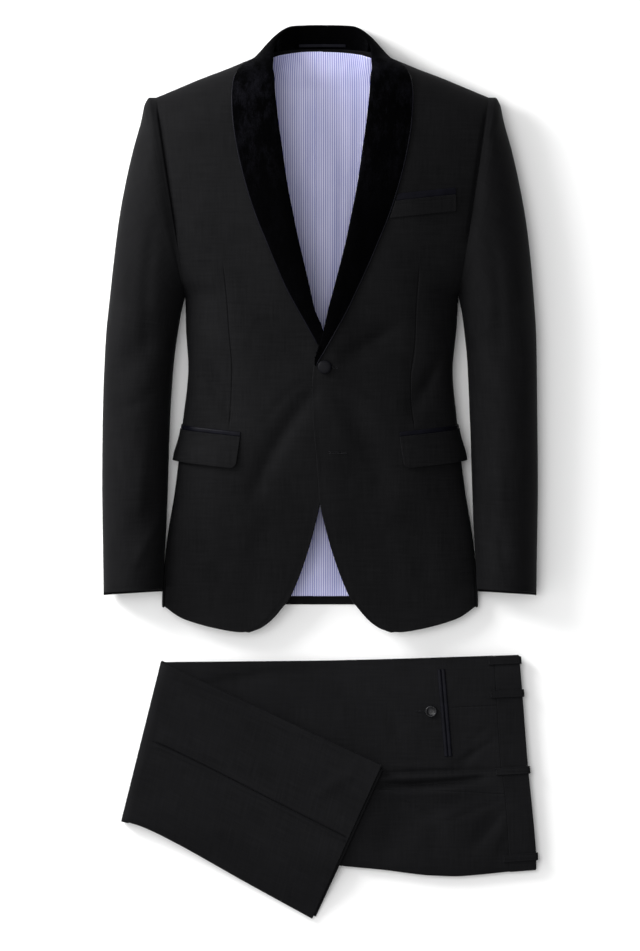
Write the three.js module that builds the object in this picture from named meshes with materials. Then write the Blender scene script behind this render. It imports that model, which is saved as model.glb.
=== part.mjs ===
// A two-piece evening suit laid out on a flat surface: the jacket lies on its back, buttoned and
// filled out, and the trousers lie folded below it.
// Millimetres. +Z is up from the surface, +Y points to the collar, and X runs across the jacket.
// X, Y = 0, 0 is the middle of the whole layout, and the surface is Z = 0.
import * as THREE from "three";

// Thicknesses and clearances
const CLOTH = 2.2; // worsted wool with its canvas
const SEAM = 0.3; // clearance between two sewn pieces
const SHOULDER_SEAM = 0.9; // the same along the curved shoulder seam
const LAYER_GAP = 0.9; // between two layers that lie on each other
const VELVET = 2.6; // velvet collar with its under-collar
const LINING = 1.1;
const SATIN = 1.2; // pocket jets and welts
const PIPING_WIDTH = 2.2;

// Jacket sizes that drive the rest
const HEM_Y = -178; // back hem
const UNDERARM = { x: 184, y: 236 };
const SHOULDER_TIP = { x: 223.3, y: 504.5 };
const DOME = 2.2; // exponent of the chest's cross-section
const FRONT_ROUND = 70; // how far below the shoulder seam the front starts to turn down
const BACK_ROUND = 44; // the same at the back, which lies flat
const BACK_RISE = 2.3; // exponent of the back's rise to the shoulder seam
const COLLAR_BED = 3.3; // room under the back neck for the turned-down collar
const SIDE_SEAM = 0.1; // girth of the seam between front and side panel
const SIDE_HEM_Y = -181.8; // hem of the side panel at the front seam
const LEAN = 3.2; // the chest lies this far to the right of the hem

// Cross-sections of the jacket's body. half: half width at the sides. rise: height of the front.
// roll: radius of the side edge, where front turns to back. Above the underarm, half is where
// the side would be if the armhole didn't cut it off.
const BODY = [
  { y: -216, half: 212, rise: 40, roll: 17 },
  { y: -178, half: 213, rise: 45, roll: 18 },
  { y: -103, half: 207.5, rise: 62, roll: 23 },
  { y: -22, half: 195, rise: 84, roll: 28 },
  { y: 69, half: 184.5, rise: 97, roll: 32 },
  { y: 138, half: 178, rise: 99, roll: 33 },
  { y: 192, half: 182, rise: 105, roll: 33 },
  { y: 236, half: 184, rise: 111, roll: 32 },
  { y: 260, half: 205, rise: 114, roll: 31 },
  { y: 290, half: 222, rise: 117, roll: 31 },
  { y: 343, half: 238, rise: 119, roll: 30 },
  { y: 389, half: 247, rise: 118, roll: 30 },
  { y: 440, half: 254, rise: 113, roll: 30 },
  { y: 505, half: 262, rise: 107, roll: 30 },
  { y: 600, half: 264, rise: 104, roll: 30 },
];

// The back neck and shoulder seam, from the centre back outwards: place and height.
const NECK_AND_SHOULDER = [
  { x: 0, y: 571, z: 10 },
  { x: 24, y: 570.6, z: 11 },
  { x: 45, y: 569.3, z: 16 },
  { x: 58, y: 567.6, z: 25 },
  { x: 66, y: 565.6, z: 36 },
  { x: 78, y: 561.6, z: 43 },
  { x: 94, y: 556, z: 46 },
  { x: 130, y: 541.5, z: 42 },
  { x: 161, y: 530, z: 38 },
  { x: 200, y: 514, z: 33 },
  { x: 223.3, y: 504.5, z: 30 },
  { x: 262, y: 489, z: 28 },
];

// The cutaway front edge below the buttons, from the lowest point of the hem upwards.
const CUTAWAY = [
  [94, -215.3],
  [80, -210],
  [65, -198.6],
  [52, -183.5],
  [42, -171],
  [30.6, -146],
  [18.5, -112],
  [10.6, -85],
  [1, -45],
];
// The front edge from the cutaway up to the roll line. The right front, seen from above, laps
// over the left one.
const EDGE_LEFT = [
  [-4, -15],
  [-9, 20],
  [-13, 60],
  [-16, 100],
  [-17, 130],
  [-14, 150],
  [-9, 168],
  [-4, 181],
  [1, 198],
];
const EDGE_RIGHT = [
  [-1.5, -20],
  [-3, 5],
  [-6.5, 42],
  [-8.8, 70],
  [-10.3, 97],
  [-10.8, 115],
  [-8.5, 141],
  [-4.7, 157],
  [0.6, 173],
  [5, 192],
];
// The right front lies on the left one: a layer higher along its edge, and more where the lapels cross.
const LAP = { lift: CLOTH + 0.5, full: 18, fade: 40, low: -110, rise: 60 };
const CROSSING = { x: 5, y: 169, lift: 5.6, wide: 36, tall: 60 };
// The line along which the collar rolls over, up to the neck.
const ROLL_LINE = [
  [9, 215],
  [17, 247],
  [25, 279],
  [32.3, 309],
  [39.3, 343],
  [47.2, 383],
  [54, 430],
  [59.8, 471],
  [64, 509],
  [67, 540],
  [83, 559.9],
];
// The front hem, from the lowest point out to the side.
const FRONT_HEM = [
  [94, -215.3],
  [111, -215.3],
  [135, -211.3],
  [164, -204],
  [189.5, -194.6],
  [209.3, -181],
];
// Heights at which the front's side seam is drawn, and places along the armhole, as shares of it.
const SIDE_SEAM_Y = [-180, -100, -20, 60, 140, 190, 222];
const FRONT_ARMHOLE = [0, 0.2, 0.45, 0.75, 1];
const BACK_ARMHOLE_TOP = [0.13, 0.2, 0.35, 0.55, 0.75, 1];
// Where the back meets the side panel, from the hem up to the armhole.
const BACK_SEAM = [
  [172, -178],
  [160, -80],
  [150, 0],
  [141, 69],
  [134, 138],
  [138, 192],
  [148, 220],
  [163, 240],
  [178, 254],
  [187.8, 262],
];

// Shawl collar on the chest. roll: the fold at the opening. edge: the piped outer edge.
const SHAWL_CHEST = [
  { y: 192, roll: 4.4, edge: 22.4 },
  { y: 215, roll: 8.8, edge: 32 },
  { y: 247, roll: 16.8, edge: 46.3 },
  { y: 279, roll: 24.8, edge: 60.8 },
  { y: 309, roll: 32.2, edge: 73.5 },
  { y: 343, roll: 39.2, edge: 87.3 },
  { y: 383, roll: 47.2, edge: 100.2 },
  { y: 430, roll: 54, edge: 111.7 },
  { y: 471, roll: 59.8, edge: 118 },
  { y: 509, roll: 64, edge: 118.9 },
  { y: 533, roll: 66, edge: 114.4 },
];
// Its points below the opening, where the right side laps over the left.
const SHAWL_POINT = {
  left: [
    { y: 164, roll: -9.6, edge: -2.6 },
    { y: 176, roll: -4.6, edge: 8.4 },
  ],
  right: [
    { y: 143, roll: -8.3, edge: -6.4 },
    { y: 151, roll: -6.6, edge: -2.2 },
    { y: 160, roll: -3.9, edge: 4.4 },
    { y: 174, roll: 0.6, edge: 13 },
  ],
};
// Round the neck it leaves the chest. Each row is a section of the collar's outside: from the
// roll, over the shoulder, round, and down to its edge, which lies under the back of the neck.
const SHAWL_NECK = [
  { roll: [67.5, 551, 83], over: [79, 554, 85], round: [94, 559, 69], edge: [103, 557.8, 53] },
  { roll: [67.5, 565, 67], over: [80, 570, 64], round: [95, 567, 24], edge: [94, 552, 10] },
  { roll: [65.5, 577, 52], over: [74, 580, 48], round: [84, 574, 7], edge: [82, 548, 2] },
  { roll: [58, 589, 38], over: [64, 592, 32], round: [68, 587, 0], edge: [65, 551, 0] },
  { roll: [44, 598.5, 27], over: [46, 603, 20], round: [48, 600, 0], edge: [45, 554, 0] },
  { roll: [23, 601, 21], over: [23, 605, 15], round: [23, 602, 0], edge: [22, 556, 0] },
  { roll: [0.15, 601.5, 19], over: [0.15, 605.5, 13], round: [0.15, 602.5, 0], edge: [0.15, 556.5, 0] },
];
const LAPEL_GAP = 1.1; // under the lapel's edge
// How far its roll stands off the chest: the most, and where that begins above the button.
const LAPEL_PUFF = { most: 3, from: 185, over: 80 };

// Collar stand inside the back neck: its lower edge on the neck seam and its upper edge at the roll.
const STAND = [
  { low: [0, 570.6, 12.9], high: [0, 597.6, 19.6] },
  { low: [23, 570.2, 13.9], high: [22.2, 597.2, 21.4] },
  { low: [43, 568.9, 18.9], high: [41.6, 595, 27.4] },
  { low: [55, 567.2, 28], high: [55.4, 586.6, 38.2] },
  { low: [60.4, 565.6, 40], high: [61.4, 575.6, 51] },
];
const STAND_CLOTH = 2;
// The hanger loop: its ends along the stand, its edges up the stand, and how far it bows out.
const HANGER = { from: 0.325, to: 0.675, low: 0.13, high: 0.25, off: 0.5, bow: 1.8, thick: 1.4 };

// Sections of a sleeve, from the armhole to the cuff: inner and outer side seen from above,
// height of the top, radius of the sides, and how far the section still has the armhole's form.
const SLEEVE = [
  { ix: 184.5, iy: 236, ox: 223.8, oy: 504.3, rise: 92, roll: 32, arm: 1 },
  { ix: 184.7, iy: 235.3, ox: 232.8, oy: 504.3, rise: 92, roll: 32, arm: 0.85 },
  { ix: 184.9, iy: 234.3, ox: 239.3, oy: 495.5, rise: 91, roll: 32, arm: 0.62 },
  { ix: 185.2, iy: 232.8, ox: 245, oy: 470, rise: 91, roll: 32, arm: 0.38 },
  { ix: 185.7, iy: 230.6, ox: 254.5, oy: 436, rise: 90, roll: 32, arm: 0.18 },
  { ix: 186.4, iy: 227.4, ox: 265.5, oy: 388, rise: 89, roll: 32, arm: 0.05 },
  { ix: 187.4, iy: 223, ox: 275, oy: 334, rise: 88, roll: 32, arm: 0 },
  { ix: 188.8, iy: 216.5, ox: 281.8, oy: 277, rise: 87, roll: 32, arm: 0 },
  { ix: 190.6, iy: 206, ox: 286.3, oy: 229, rise: 86, roll: 32, arm: 0 },
  { ix: 193.4, iy: 186, ox: 289.8, oy: 188, rise: 85, roll: 32, arm: 0 },
  { ix: 197.4, iy: 152, ox: 291.4, oy: 146, rise: 84, roll: 32, arm: 0 },
  { ix: 200.5, iy: 104, ox: 292.6, oy: 97, rise: 82, roll: 31, arm: 0 },
  { ix: 203, iy: 48, ox: 293.4, oy: 42, rise: 80, roll: 30, arm: 0 },
  { ix: 204.8, iy: -10, ox: 293.8, oy: -15, rise: 78, roll: 29, arm: 0 },
  { ix: 206.8, iy: -66, ox: 293.2, oy: -70, rise: 76, roll: 28, arm: 0 },
  { ix: 209.5, iy: -114, ox: 292.4, oy: -118, rise: 74, roll: 28, arm: 0 },
  { ix: 211.6, iy: -157, ox: 291.8, oy: -162, rise: 72, roll: 28, arm: 0 },
];
const SLEEVE_CLOTH = 2;
const SLEEVE_FLAT = 0.42; // share of the sleeve's width that lies flat on the surface
const SLEEVE_SEAM = 0.6;
const ARMHOLE_SEAM = 0.4;

// Soft folds in the cloth, seen from above: from, through and to, how deep (down is negative)
// and how wide. The button pulls the fronts and the waist.
const FRONT_FOLDS = [
  { from: [-6, 112], via: [-62, 48], to: [-92, -44], deep: -4, wide: 15 },
  { from: [-4, 152], via: [-40, 166], to: [-92, 196], deep: -3, wide: 14 },
  { from: [16, 118], via: [62, 60], to: [88, -34], deep: -3, wide: 16 },
  { from: [24, 150], via: [54, 160], to: [96, 192], deep: -3, wide: 14 },
  { from: [-170, 166], via: [-148, 118], to: [-112, 72], deep: -4, wide: 14 },
  { from: [178, 172], via: [154, 122], to: [118, 78], deep: -4, wide: 14 },
];
const SLEEVE_FOLDS = [
  { from: [-216, 196], via: [-246, 150], to: [-286, 128], deep: -4, wide: 20 },
  { from: [-204, -28], via: [-222, -52], to: [-262, -96], deep: -4, wide: 18 },
  { from: [218, 186], via: [246, 150], to: [288, 136], deep: -4, wide: 20 },
  { from: [212, -38], via: [228, -74], to: [246, -126], deep: -4, wide: 18 },
];

// Back lining. pleat: how far the right half laps over the left at the centre. hem: where it starts,
// as a share of the back's length. neck: how far its top stands off the back, over the neck seam.
const LINING_FORM = { pleat: 9, hem: 0.0145, top: 0.99, side: 0.975, neck: 2.4 };
const HEM_TURN = { half: 150, from: 0.5, to: 10, thick: 1.6 }; // wool turned up inside the back hem

// Pockets. across: from the centre line. rise: how far the opening climbs for each millimetre
// outwards. slant: how far the flap's front edge leans. swing: how far its lower edge hangs clear.
const FLAP = {
  across: 107,
  y: 47,
  length: 120,
  drop: 42,
  rise: 0.105,
  corner: 8,
  slant: 0.07,
  swing: 4.4,
  thick: 2,
};
const JET = { height: 6, above: 0.6, before: 1.5 };
const ON_CLOTH = 0.7; // gap between the body and what is sewn on it
const BREAST = { left: 96, right: 178, low: 340.8, height: 21, rise: 0.112, thick: 1.8, jet: 9.5 };

const BUTTON = { x: 5.4, y: 140.5, radius: 9.4, thick: 4.2 };

// Trousers, folded. Places of the outline seen from above.
const FOLD_TOP = [-214.8, -256.2];
const FOLD_LOW = [-268, -469.5];
const CUFF_TOP = [82.9, -394.7];
const LEG_LOW_EDGE = [
  FOLD_LOW,
  [-238.5, -478.8],
  [-193.5, -500.8],
  [-103.5, -551.7],
  [-11.3, -602.5],
];
const SEAT_TOP_EDGE = [
  { x: -275, y: -257 },
  { x: -100, y: -255.4 },
  { x: 0, y: -254.3 },
  { x: 226, y: -247.9 },
  { x: 292, y: -245.4 },
];
const SEAT_LOW_EDGE = [
  { x: -275, y: -469 },
  { x: -170, y: -480 },
  { x: -100, y: -497 },
  { x: -40, y: -515 },
  { x: 20, y: -530 },
  { x: 86, y: -536.8 },
  { x: 150, y: -544.3 },
  { x: 183, y: -545.4 },
  { x: 215, y: -543.2 },
  { x: 256, y: -539 },
  { x: 292, y: -536 },
];
const SIDE_LINE = [
  { x: -275, y: -360 },
  { x: -60, y: -392 },
  { x: 86, y: -407 },
  { x: 250, y: -402.6 },
  { x: 292, y: -401.5 },
];
const SEAT_LENGTH = 500;
const SEAT_WIDTH = 290;
// Height of the folded trousers along their length.
const SEAT_RISE = [
  { x: -275, z: 13 },
  { x: -120, z: 14 },
  { x: 20, z: 19 },
  { x: 130, z: 22 },
  { x: 230, z: 21 },
  { x: 292, z: 19 },
];
const SEAT_EDGE = 5; // exponent of the seat's section, flat with round edges
const WAIST_SEAM = [
  [256.2, -539.5],
  [255.2, -513],
  [249.8, -433.4],
  [244.4, -394.7],
  [239, -315],
  [234.6, -247.8],
];
const WAIST_EDGE = [
  [290.8, -537],
  [290.3, -513],
  [283, -432],
  [279.6, -399],
  [271.4, -293.5],
  [267.5, -246.6],
];
const WAISTBAND = 3;
const BAND_WIDTH = 36;
const BAND_LENGTH = 291;
// Belt loops. before, beyond: how far they reach past the band. bend: share that lies on top of it.
const LOOP = { width: 9, thick: 1.9, gap: 0.7, before: 9, beyond: 1, bend: 0.72, hang: 7 };
const LOOPS = [
  { name: "centre_back", across: 0.99 },
  { name: "back", across: 0.823 },
  { name: "side", across: 0.467 },
  { name: "front", across: 0.065 },
];
// Soft folds in the seat: from, through and to, how deep (down is negative) and how wide.
const SEAT_FOLDS = [
  { from: [84, -407], via: [142, -403], to: [240, -402.6], deep: -2.4, wide: 4 },
  { from: [84, -414], via: [150, -413], to: [226, -407], deep: 3.2, wide: 6 },
  { from: [80, -422], via: [140, -424], to: [224, -412], deep: -5.2, wide: 6.5 },
  { from: [70, -431], via: [120, -430], to: [190, -432], deep: 2.6, wide: 9 },
  { from: [246, -436], via: [190, -445], to: [130, -462], deep: -2, wide: 12 },
  { from: [247, -452], via: [228, -470], to: [205, -512], deep: -2.4, wide: 11 },
  { from: [210, -376], via: [202, -388], to: [186, -398], deep: -1.8, wide: 7 },
  { from: [-140, -285], via: [-20, -270], to: [60, -266], deep: -1.6, wide: 12 },
];
const BACK_POCKET = { x: 158, top: -266, length: 117, lean: 0.083, welt: 4.9, gap: 0.6 };
const POCKET_BUTTON = { x: 149.6, y: -322.6, radius: 8, thick: 3.2 };
const LEG_WIDTH = 225;
const LEG_RISE = 10; // height of the turned-over leg above what it lies on
const LEG_DROP = 84; // how far past the seat's edge the leg takes to reach the surface
const LEG_EDGE = 9; // exponent of the leg's section
const OUTSEAM = 0.475; // where the leg's side seam lies across its width
const UNDER_LEG = 3.8; // how far the second leg's hem shows past the first
const FOLD_ROUND = 15; // how far back from the fold line the leg is round
const FOLD_INSET = 5.5; // the seat's layers end this far inside the fold
const LAYER_SHARE = 0.45; // share of a fold's thickness that its lower layers take
const LAYER_INSET = 5.2; // the layers under the top one end this far inside it
const LAYER_DROP = 1.9; // and lie this far under its cloth

const clamp01 = (t) => Math.min(1, Math.max(0, t));
const smooth = (t) => {
  const c = clamp01(t);
  return c * c * (3 - 2 * c);
};
const mix = (a, b, t) => a + (b - a) * t;

// A smooth value from a table: monotone cubic through column `name`, along column `along`.
function read(table, along, name, at) {
  const last = table.length - 1;
  const way = Math.sign(table[last][along] - table[0][along]);
  let i = 0;
  while (i < last - 1 && way * at > way * table[i + 1][along]) i += 1;
  const slope = (k) =>
    (table[k + 1][name] - table[k][name]) / (table[k + 1][along] - table[k][along]);
  const tangent = (k) => {
    if (k === 0) return slope(0);
    if (k === last) return slope(last - 1);
    const before = slope(k - 1);
    const after = slope(k);
    return before * after <= 0 ? 0 : (2 * before * after) / (before + after);
  };
  const step = table[i + 1][along] - table[i][along];
  const t = clamp01((at - table[i][along]) / step);
  const rise = (3 - 2 * t) * t * t;
  return (
    mix(table[i][name], table[i + 1][name], rise) +
    step * tangent(i) * t * (1 - t) ** 2 -
    step * tangent(i + 1) * t * t * (1 - t)
  );
}

// The height that one soft fold adds, which fades towards its ends.
function foldHeight({ from, via, to, deep, wide }, x, y) {
  const curve = (t) => [0, 1].map((k) => mix(mix(from[k], via[k], t), mix(via[k], to[k], t), t));
  let nearest = Infinity;
  let along = 0;
  for (const t of even(16)) {
    const [cx, cy] = curve(t);
    const far = Math.hypot(cx - x, cy - y);
    if (far < nearest) [nearest, along] = [far, t];
  }
  return deep * Math.exp(-((nearest / wide) ** 2)) * (0.25 + 0.75 * Math.sin(Math.PI * along) ** 0.6);
}

// A smooth curve through points in the plan, by share of its length.
function through(points) {
  const curve = new THREE.CatmullRomCurve3(
    points.map(([x, y]) => new THREE.Vector3(x, y, 0)),
    false,
    "centripetal",
  );
  return (t) => {
    const p = curve.getPointAt(clamp01(t));
    return [p.x, p.y];
  };
}

// A patch in the plan between four curves: low and top run across, inner and outer run up.
function patch({ low, top, inner, outer }) {
  const corner = [inner(0), outer(0), inner(1), outer(1)];
  return (u, v) =>
    [0, 1].map(
      (k) =>
        mix(low(u)[k], top(u)[k], v) +
        mix(inner(v)[k], outer(v)[k], u) -
        mix(mix(corner[0][k], corner[1][k], u), mix(corner[2][k], corner[3][k], u), v),
    );
}

// A closed wall of cloth over a surface. near and far are the wall's two sides, measured along
// the surface's outward normal: (du x dv) times facing. level is how far the normal is turned
// to lie level, so that two panels meet squarely at their seam.
function wall(surface, us, vs, near, far, facing = 1, level = () => 0) {
  const step = 1e-3;
  const least = us[0];
  const at = (f, u, v) => (typeof f === "number" ? f : f(u, v));
  const normal = (u, v) => {
    const du = surface(Math.min(1, u + step), v).sub(surface(Math.max(least, u - step), v));
    const dv = surface(u, Math.min(1, v + step)).sub(surface(u, Math.max(0, v - step)));
    const out = du.cross(dv).multiplyScalar(facing).normalize();
    out.z *= 1 - level(u, v);
    return out.normalize();
  };
  const points = [];
  for (const offset of [far, near])
    for (const v of vs)
      for (const u of us)
        points.push(surface(u, v).addScaledVector(normal(u, v), at(offset, u, v)));
  return closed(points, us.length, vs.length);
}

// Joins two grids of points, the far side first, into one closed mesh.
function closed(points, across, up) {
  const id = (side, i, j) => side * across * up + j * across + i;
  const faces = [];
  const quad = (a, b, c, d) => faces.push([a, b, c], [a, c, d]);
  for (let j = 0; j < up - 1; j += 1)
    for (let i = 0; i < across - 1; i += 1) {
      quad(id(0, i, j), id(0, i + 1, j), id(0, i + 1, j + 1), id(0, i, j + 1));
      quad(id(1, i, j), id(1, i, j + 1), id(1, i + 1, j + 1), id(1, i + 1, j));
    }
  for (let i = 0; i < across - 1; i += 1) {
    quad(id(0, i + 1, 0), id(0, i, 0), id(1, i, 0), id(1, i + 1, 0));
    quad(id(0, i, up - 1), id(0, i + 1, up - 1), id(1, i + 1, up - 1), id(1, i, up - 1));
  }
  for (let j = 0; j < up - 1; j += 1) {
    quad(id(0, 0, j), id(0, 0, j + 1), id(1, 0, j + 1), id(1, 0, j));
    quad(id(0, across - 1, j + 1), id(0, across - 1, j), id(1, across - 1, j), id(1, across - 1, j + 1));
  }
  return meshOf(points, faces);
}

function meshOf(points, faces) {
  const volume = faces.reduce((sum, [a, b, c]) => {
    const cross = points[b].clone().cross(points[c]);
    return sum + points[a].dot(cross);
  }, 0);
  const index = volume < 0 ? faces.map(([a, b, c]) => [a, c, b]) : faces;
  const geometry = new THREE.BufferGeometry().setFromPoints(points);
  geometry.setIndex(index.flat());
  geometry.computeVertexNormals();
  return geometry;
}

const even = (count) => Array.from({ length: count + 1 }, (_, i) => i / count);
// Steps that get shorter towards 1, or towards both ends.
const closing = (count, power = 2) => even(count).map((t) => 1 - (1 - t) ** power);
const rounding = (count) => even(count).map((t) => (1 - Math.cos(Math.PI * t)) / 2);

const MATERIALS = {
  wool: new THREE.MeshStandardMaterial({ color: 0x141416, roughness: 0.85, metalness: 0 }),
  velvet: new THREE.MeshStandardMaterial({ color: 0x060608, roughness: 1, metalness: 0 }),
  satin: new THREE.MeshStandardMaterial({ color: 0x15141c, roughness: 0.4, metalness: 0 }),
  lining: new THREE.MeshStandardMaterial({ color: 0xa9b2dc, roughness: 0.45, metalness: 0 }),
  horn: new THREE.MeshStandardMaterial({ color: 0x0c0c0e, roughness: 0.25, metalness: 0 }),
};

const suit = new THREE.Group();
function add(name, geometry, material) {
  const mesh = new THREE.Mesh(geometry, MATERIALS[material]);
  mesh.name = name;
  suit.add(mesh);
}

// The jacket's body

const lean = (y) => LEAN * smooth((y - 60) / 260);
const place = (side, x, y, z) => new THREE.Vector3(side * x + lean(y), y, z);
const bodyAt = (y) => ({
  half: read(BODY, "y", "half", y),
  rise: read(BODY, "y", "rise", y),
  roll: read(BODY, "y", "roll", y),
});
const seamAt = (x) => ({
  y: read(NECK_AND_SHOULDER, "x", "y", Math.abs(x)),
  z: read(NECK_AND_SHOULDER, "x", "z", Math.abs(x)),
});
const turn = (depth, radius) => Math.sqrt(1 - (1 - clamp01(depth / radius)) ** 2);

// Height of the front's outside above the surface.
function frontHeight(x, y) {
  const { half, rise, roll } = bodyAt(y);
  const out = Math.min(1, Math.abs(x) / half);
  const dome = roll + (rise - roll) * (1 - out ** DOME) ** (1 / DOME);
  const seam = seamAt(x);
  return seam.z + (dome - seam.z) * turn(seam.y - y, FRONT_ROUND);
}

// Height of the back's outside, which rests on the surface.
function backHeight(x, y) {
  const { half, roll } = bodyAt(y);
  const out = clamp01((Math.abs(x) - (half - roll)) / roll);
  const bed = COLLAR_BED * smooth((y - 512) / 32) * (1 - smooth((Math.abs(x) - 100) / 25));
  const low = Math.max(roll * (1 - Math.sqrt(1 - out * out)), bed);
  const seam = seamAt(x);
  return low + (seam.z - low) * (1 - clamp01((seam.y - y) / BACK_ROUND)) ** BACK_RISE;
}

// Round the body at one height: g is 1 at the centre front, 0 at the side and -1 where the
// side edge reaches the surface, and goes on along the back.
function girthPoint(side, g, y) {
  const { half, rise, roll } = bodyAt(y);
  if (g >= 0) {
    const angle = (g * Math.PI) / 2;
    return place(
      side,
      half * Math.cos(angle) ** (2 / DOME),
      y,
      roll + (rise - roll) * Math.sin(angle) ** (2 / DOME),
    );
  }
  const angle = (Math.min(1, -g) * Math.PI) / 2;
  const past = Math.max(0, -g - 1) * roll * (Math.PI / 2);
  return place(side, half - roll + roll * Math.cos(angle) - past, y, roll * (1 - Math.sin(angle)));
}
function girthOfFront(x, y) {
  return Math.acos(Math.min(1, x / bodyAt(y).half) ** (DOME / 2)) / (Math.PI / 2);
}
function girthOfBack(x, y) {
  const { half, roll } = bodyAt(y);
  const flat = half - roll;
  if (x >= flat) return -Math.acos(Math.min(1, (x - flat) / roll)) / (Math.PI / 2);
  return -1 - (flat - x) / (roll * (Math.PI / 2));
}
const armholeX = (y) =>
  mix(UNDERARM.x, SHOULDER_TIP.x, (y - UNDERARM.y) / (SHOULDER_TIP.y - UNDERARM.y));

// Right front over left: how far the right one is lifted to lie on the left.
function lap(side, x, y) {
  if (side < 0) return 0;
  const out = 1 - smooth((x - LAP.full) / LAP.fade);
  const far = ((x - CROSSING.x) / CROSSING.wide) ** 2 + ((y - CROSSING.y) / CROSSING.tall) ** 2;
  return LAP.lift * out * smooth((y - LAP.low) / LAP.rise) + CROSSING.lift * Math.exp(-far);
}

const foldsAt = (folds, x, y) => folds.reduce((sum, fold) => sum + foldHeight(fold, x, y), 0);
// Height of a front with its lap and its folds, which fade out at the side.
function chestHeight(side, x, y) {
  const calm = 1 - smooth((x / bodyAt(y).half - 0.8) / 0.17);
  const folds = foldsAt(FRONT_FOLDS, side * x + lean(y), y) * calm;
  return frontHeight(x, y) + lap(side, x, y) + folds;
}

function frontPanel(side) {
  const edge = side < 0 ? EDGE_LEFT : EDGE_RIGHT;
  const sideSeam = SIDE_SEAM_Y.map((y) => {
    const p = girthPoint(1, SIDE_SEAM, y);
    return [p.x - lean(y), y];
  });
  sideSeam[0] = FRONT_HEM[FRONT_HEM.length - 1];
  const armhole = FRONT_ARMHOLE.map((t) => {
    const y = mix(UNDERARM.y, SHOULDER_TIP.y, t);
    return [armholeX(y), y];
  });
  const shoulder = even(6).map((t) => {
    const x = mix(ROLL_LINE[ROLL_LINE.length - 1][0], SHOULDER_TIP.x, t);
    return [x, seamAt(x).y];
  });
  const plan = patch({
    low: through(FRONT_HEM),
    top: through(shoulder),
    inner: through([...CUTAWAY, ...edge, ...ROLL_LINE]),
    outer: through([...sideSeam, ...armhole]),
  });
  return (u, v) => {
    const [x, y] = plan(u, v);
    const gap = mix(SHOULDER_SEAM, SEAM, smooth((seamAt(x).y - y) / 12)) / 2;
    return place(side, x, y, chestHeight(side, x, y) + gap);
  };
}

// The back's outer edge: the seam to the side panel and then the armhole, which starts at share
// BACK_ARMHOLE of its length.
const backArmhole = BACK_ARMHOLE_TOP.map((t) => {
  const y = mix(UNDERARM.y, SHOULDER_TIP.y, t);
  return [armholeX(y), y];
});
const backEdge = through([...BACK_SEAM, ...backArmhole]);
const BACK_ARMHOLE = even(1000).find((t) => backEdge(t)[1] >= BACK_SEAM[BACK_SEAM.length - 1][1]);
const BACK_ROWS = [
  ...[0, 0.13, 0.27, 0.41, 0.55, 0.68, 0.8, 0.9, 0.96, 1].map((t) => t * BACK_ARMHOLE),
  ...[0.73, 0.8, 0.86, 0.91, 0.95, 0.98, 1],
];

function backPanel(side) {
  const half = SEAM / 2;
  const shoulder = NECK_AND_SHOULDER.slice(0, -1).map(({ x, y }) => [Math.max(x, half), y]);
  const plan = patch({
    low: through([[half, HEM_Y], [90, HEM_Y], BACK_SEAM[0]]),
    top: through(shoulder),
    inner: through([[half, HEM_Y], [half, 200], [half, shoulder[0][1]]]),
    outer: backEdge,
  });
  return (u, v) => {
    const [x, y] = plan(u, v);
    const gap = mix(SHOULDER_SEAM, SEAM, smooth((seamAt(x).y - y) / 12)) / 2;
    return place(side, x, y, Math.max(0, backHeight(x, y) - gap));
  };
}

function sidePanel(side) {
  return (u, v) => {
    const [backX, backY] = backEdge(v * BACK_ARMHOLE);
    const y = mix(mix(SIDE_HEM_Y, backY, smooth(v * 12)), backY, u);
    const gap = SEAM / (bodyAt(y).roll * (Math.PI / 2));
    const front =
      y < UNDERARM.y
        ? SIDE_SEAM * (1 - smooth((y - 212) / 22)) - gap
        : girthOfBack(armholeX(y), y) - gap;
    const back = girthOfBack(backX, y) + gap;
    return girthPoint(side, mix(front, back, u), y);
  };
}

const SIDES = [
  { name: "left", side: -1 },
  { name: "right", side: 1 },
];
const FRONT_COLUMNS = closing(11, 1.4);
const FRONT_ROWS = [
  ...even(13).map((t) => 0.5 * t),
  ...[0.54, 0.58, 0.63, 0.7, 0.77, 0.83, 0.88, 0.915, 0.94, 0.96, 0.978, 0.992, 1],
];
const SIDE_ROWS = [...BACK_ROWS.filter((v) => v < BACK_ARMHOLE).map((v) => v / BACK_ARMHOLE), 0.985];
const frontSquare = (u, v) => smooth((v - 0.95) / 0.05);
const backSquare = (u, v) => smooth((v - 0.95) / 0.05) * smooth((u - 0.35) / 0.12);
for (const { name, side } of SIDES) {
  const front = wall(frontPanel(side), FRONT_COLUMNS, FRONT_ROWS, -CLOTH, 0, side, frontSquare);
  const back = wall(backPanel(side), closing(7, 1.5), BACK_ROWS, -CLOTH, 0, -side, backSquare);
  add(`front_${name}`, front, "wool");
  add(`back_${name}`, back, "wool");
  add(`side_${name}`, wall(sidePanel(side), even(6), SIDE_ROWS, -CLOTH, 0, side), "wool");
}

// Sleeves

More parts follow.
